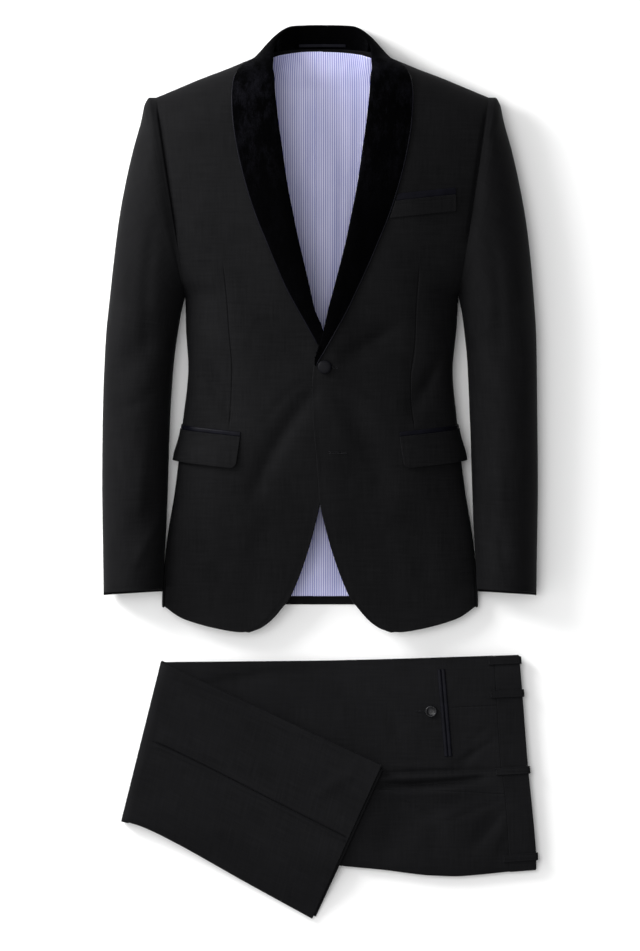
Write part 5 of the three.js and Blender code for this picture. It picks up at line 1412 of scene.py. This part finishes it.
def layered(name, top, bottom, finish, count):
    """A stack of folded layers between two grids: a closed body whose edge shows so many folds."""
    squares, ring, next_in = sheet_grid(*top.shape[:2])
    out, low = top.reshape(-1, 3), bottom.reshape(-1, 3)
    away = unit((out[ring] - out[next_in]) * np.array([1, 1, 0]))
    steps = 6 * count
    share = np.linspace(0, 1, steps + 1)[1:-1]
    bulge = LAYER_RIDGE * np.abs(np.sin(np.pi * count * share)) ** 0.6
    rims = [mix(out[ring], low[ring], s) + away * b for s, b in zip(share, bulge)]
    total = len(out)
    starts = [2 * total + k * len(ring) for k in range(len(rims))]
    here = np.arange(len(ring))
    levels = [ring] + [here + start for start in starts] + [ring + total]
    faces = [squares, squares[:, ::-1] + total]
    for above, below in zip(levels, levels[1:]):
        faces.append(np.stack([np.roll(above, -1), above, below, np.roll(below, -1)], axis=1))
    flat = top[..., :2].reshape(-1, 2)
    flats = np.concatenate([flat, flat] + [flat[ring] for _ in rims])
    return make_mesh(name, np.concatenate([out, low] + rims), np.concatenate(faces), flats, finish)


seat_stack_columns = np.unique(np.concatenate([lines(90), [0.006, 0.012, 0.022, 0.036]]))
u, v = np.meshgrid(seat_stack_columns, upright(lines(70)))
stack = seat_surface(u, inside(v, SEAT_WIDTH), fine=True)
top = stack - np.array([0, 0, CLOTH + LAYER_DROP])
curl = under_edge(2 * v - 1, LAYER_SHARE * read(SEAT_RISE, "x", "z", stack[..., 0]))
lift = fold_lift(u * (WAIST_SEAM[0][0] - FOLD_LOW[0]))
bottom = np.concatenate([stack[..., :2], np.maximum(curl, lift)[..., None]], axis=-1)
seat_layers = layered("seat_folds", top, bottom, trouser_wool, 3)
sew(seat_layers, "seat_layers", top)

# Waistband: a straight band of doubled wool, sewn to the top of the seat, with the far half of
# the band under it, and belt loops sewn on above and below.
WAISTBAND = 3
LOOP = {"width": 9, "thick": 1.9, "gap": 0.7, "before": 9, "beyond": 1, "hang": 7, "rib": 0.25}
LOOPS = (("centre_back", 0.99), ("back", 0.823), ("side", 0.467), ("front", 0.065))
BAND_WIDTH = 36
BAND_LENGTH = 291


def band_surface(u, v):
    plan = band_plan(u, v)
    x, y = plan[..., 0], plan[..., 1]
    return np.stack([x, y, seat_height(x, y, 2 * v - 1) + 0.4], axis=-1)


u, v = np.meshgrid(lines(26, 0.03), upright(lines(150)))
surface = band_surface(u, v)
facing = normals(surface, 1)
flat = surface[..., :2][..., ::-1]
band = shell("waist_band", surface, surface - facing * WAISTBAND, trouser_wool, flat)
band_outer = surface
u, v = np.meshgrid(mix(0.01, 0.9, lines(16)), upright(lines(90)))
stack = band_surface(u, inside(v, SEAT_WIDTH))
top = stack - np.array([0, 0, WAISTBAND + LAYER_GAP])
curl = under_edge(2 * v - 1, LAYER_SHARE * read(SEAT_RISE, "x", "z", stack[..., 0]))
bottom = np.concatenate([stack[..., :2], curl[..., None]], axis=-1)
under_band = layered("waist_band_folds", top, bottom, trouser_wool, 2)
sew(under_band, "waistband_under", top)

tacks, loops = [], []
for name, across in LOOPS:
    half_width = LOOP["width"] / 2 / BAND_LENGTH
    middle = min(across, 1 - half_width * 1.6)
    reach = 1 + LOOP["beyond"] / BAND_WIDTH
    loop_columns = np.unique(np.concatenate([lines(40, 0.01), np.linspace(0.68, 1, 20)]))
    u, v = np.meshgrid(loop_columns, lines(12, 0.08))
    share = middle + (2 * v - 1) * half_width
    turned_down = np.maximum(0, u - 0.72) / 0.28
    along = mix(-LOOP["before"] / BAND_WIDTH, reach, np.minimum(1, u / 0.72))
    surface = band_surface(np.minimum(1, along), share)
    surface[..., 0] += np.maximum(0, along - 1) * BAND_WIDTH
    surface[..., 2] -= turned_down * LOOP["hang"]
    facing = normals(surface, 1)
    ribs = LOOP["rib"] * hump(np.abs(2 * v - 1) - 0.62, 0.12)[..., None]
    outer = surface + facing * (LOOP["gap"] + LOOP["thick"] - ribs)
    loop = shell(f"belt_loop_{name}", outer, surface + facing * LOOP["gap"], trouser_wool)
    sew(loop, f"loop_{name}")
    loops.append(loop)
    row = np.argmin(np.abs(lines(12, 0.08) - 0.15)), np.argmin(np.abs(lines(12, 0.08) - 0.85))
    column = 3
    tacks.append(outer[row[0] : row[1] + 1, column] + np.array([0, 0, 0.1]))
sew(band, "waistband", band_outer)
stitched("loop_tacks", tacks, 0.7, 1.6, 0.22, math.pi / 2, thread_finish, "trouser_wool")

# Back pocket button: a polished four-hole button of dark horn, sewn on with a cross of thread
# beside the opening, with its purled buttonhole.
POCKET_BUTTON = {"x": 149.6, "y": -322.6, "radius": 8, "thick": 3.2}
DISHED = [(0, 0), (0.8, 0), (0.96, 0.2), (1, 0.45), (0.97, 0.78), (0.88, 0.98), (0.74, 0.96), (0.6, 0.74)]
DISHED += [(0.4, 0.66), (0, 0.64)]
horn_finish, horn_shader = shader_of("polished_horn", (0.004, 0.004, 0.005), 0.26, 0.16)
horn_streaks = stretched_noise(horn_finish, (260, 90, 120), 3.0, "Object")
horn_tone = ramp(horn_finish, horn_streaks, [(0.35, (0.002, 0.002, 0.0024)), (0.7, (0.009, 0.009, 0.011))])
paint(horn_finish, horn_shader, horn_tone)
seat_of_pocket_button = on_seat(np.float64(POCKET_BUTTON["x"]), np.float64(POCKET_BUTTON["y"]))
seat_of_pocket_button += np.array([0, 0, 0.8])
pocket_profile = [(r * POCKET_BUTTON["radius"], z * POCKET_BUTTON["thick"]) for r, z in DISHED]
pocket_button = turned("horn_button", pocket_profile, seat_of_pocket_button, horn_finish)
sew(pocket_button, "button_pocket")
paths = []
for offset in (-0.7, 0.7):
    x = np.linspace(128, 141, 20)
    seat = on_seat(x, np.full(20, POCKET_BUTTON["y"] + offset), True)
    paths.append(seat + np.array([0, 0, 0.15]))
stitched("pocket_buttonhole", paths, 0.6, 1.8, 0.22, math.pi / 2, thread_finish, "trouser_wool")
stitch_x = POCKET_BUTTON["x"] + np.array([-1.1, 1.1])
cross_z = seat_of_pocket_button[2] + 0.66 * POCKET_BUTTON["thick"]
stitch_y = POCKET_BUTTON["y"] + np.array([-1.1, 1.1])
cross = [np.column_stack([over, stitch_y, [cross_z] * 2]) for over in (stitch_x, stitch_x[::-1])]
stitched("button_thread", cross, 0.25, 0.5, 0.2, 0.0, thread_finish, "trouser_wool")

# Legs: both legs together, turned back over the seat at the knee. The side seam runs along the
# middle of the upper one, and the plain hem lies at the right.
CUFF_TOP = (82.9, -394.7)
LEG_LOW_EDGE = [FOLD_LOW, (-238.5, -478.8), (-193.5, -500.8), (-103.5, -551.7), (-11.3, -602.5)]
LEG_RISE = 10
LEG_DROP = 84
LEG_EDGE = 9
LEG_WIDTH = 225
OUTSEAM = 0.475
UNDER_LEG = 3.8
FOLD_ROUND = 15
LEG_SEAM = {"deep": 1.2, "groove": 1.3, "ridge": 1.0, "beside": 4.5, "wide": 2.6}
LEG_CREASES = [
    ((-206, -276), (-110, -312), (-30, -344), -2.2, 5),
    ((-180, -292), (-70, -344), (40, -388), -1.8, 6),
    ((-236, -352), (-170, -372), (-90, -404), 1.8, 8),
    ((-10, -440), (16, -420), (50, -402), 1.6, 10),
    ((-196, -300), (-120, -324), (-20, -372), -0.8, 6),
    ((-150, -318), (-60, -362), (20, -392), 0.7, 8),
    ((-240, -420), (-180, -440), (-100, -480), -0.6, 14),
    ((-120, -420), (-40, -470), (10, -500), -0.6, 12),
]
leg_upper = between(FOLD_TOP, CUFF_TOP)
leg_lower = through(LEG_LOW_EDGE)
leg_length = math.hypot(CUFF_TOP[0] - FOLD_TOP[0], CUFF_TOP[1] - FOLD_TOP[1])
low_run = leg_lower(np.float64(1)) - leg_lower(np.float64(0))


def leg_plan(a, v):
    low = np.minimum(1, a)
    lower = leg_lower(low) + (a - low)[..., None] * low_run
    return mix(leg_upper(a), lower, v[..., None])


def leg_bed(x, y):
    past = read(SEAT_LOW_EDGE, "x", "y", x) - y
    return (read(SEAT_RISE, "x", "z", x) + LAYER_GAP) * (1 - smooth((past + 5) / LEG_DROP))


def leg_height(x, y, v):
    under = LAYER_SHARE * LEG_RISE
    return leg_bed(x, y) + under + (LEG_RISE - under) * rounded(2 * v - 1, LEG_EDGE)


def leg_surface(t, v):
    """Along the leg. Below 0, t goes down round the fold to the surface."""
    fold = FOLD_ROUND / leg_length
    plan = leg_plan(mix(fold, 1, np.maximum(t, 0)), v)
    flat_z = leg_height(plan[..., 0], plan[..., 1], v)
    fade = smooth(t / 0.05) * smooth((1 - t) / 0.04)
    creases = crease_height(LEG_CREASES, plan[..., 0], plan[..., 1]) * fade
    start = leg_plan(np.full(t.shape, fold), v)
    tip = leg_plan(np.zeros(t.shape), v)
    top = leg_height(start[..., 0], start[..., 1], v)
    angle = (1 + np.clip(t, -1, 0)) * np.pi
    out = np.abs(np.sin(angle)) ** 0.8
    z = top / 2 * (1 - np.sign(np.cos(angle)) * np.abs(np.cos(angle)) ** 0.8)
    turned_in = np.concatenate([mix(start, tip, out[..., None]), z[..., None]], axis=-1)
    laid = np.concatenate([plan, (flat_z + creases * rounded(2 * v - 1, LEG_EDGE))[..., None]], axis=-1)
    return np.where((t >= 0)[..., None], laid, turned_in)


for name, start, end in (("back", OUTSEAM - 0.0008, 0), ("front", OUTSEAM + 0.0008, 1)):
    along = np.unique(np.concatenate([np.linspace(-1, 0, 41), lines(170), [0.995, 0.998]]))
    shares = np.unique(np.concatenate([1 - (1 - lines(70, 0.008)) ** 1.5, np.linspace(0, 0.09, 22)]))
    t, v = np.meshgrid(along, shares)
    outer = leg_surface(t, mix(start, end, v))
    off_seam = np.abs(mix(start, end, v) - OUTSEAM) * LEG_WIDTH
    groove = LEG_SEAM["deep"] * hump(off_seam, LEG_SEAM["groove"])
    ridge = LEG_SEAM["ridge"] * hump(off_seam - LEG_SEAM["beside"], LEG_SEAM["wide"]) * (end == 1)
    outer[..., 2] += (ridge - groove) * smooth(t / 0.04) * smooth((1 - t) / 0.02)
    facing = normals(outer, 1 if start > end else -1)
    flat = np.stack([walked(outer, 0), walked(outer, 1)], axis=-1)
    leg = shell(f"thigh_{name}", outer, outer - facing * CLOTH, trouser_wool, flat)
    sew(leg, f"leg_{name}", outer)

t, v = np.meshgrid(lines(110, 0.004), upright(lines(80)))
across = inside(v, LEG_WIDTH)
plan = leg_plan(mix((FOLD_ROUND + 3) / leg_length, 1 + UNDER_LEG / leg_length, t), across)
x, y = plan[..., 0], plan[..., 1]
top = np.concatenate([plan, (leg_height(x, y, across) - CLOTH - LAYER_DROP)[..., None]], axis=-1)
bottom = np.concatenate([plan, (leg_bed(x, y) + under_edge(2 * v - 1, 4))[..., None]], axis=-1)
leg_layers = layered("leg_folds", top, bottom, trouser_wool, 2)
sew(leg_layers, "leg_layers", top)

low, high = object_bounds()
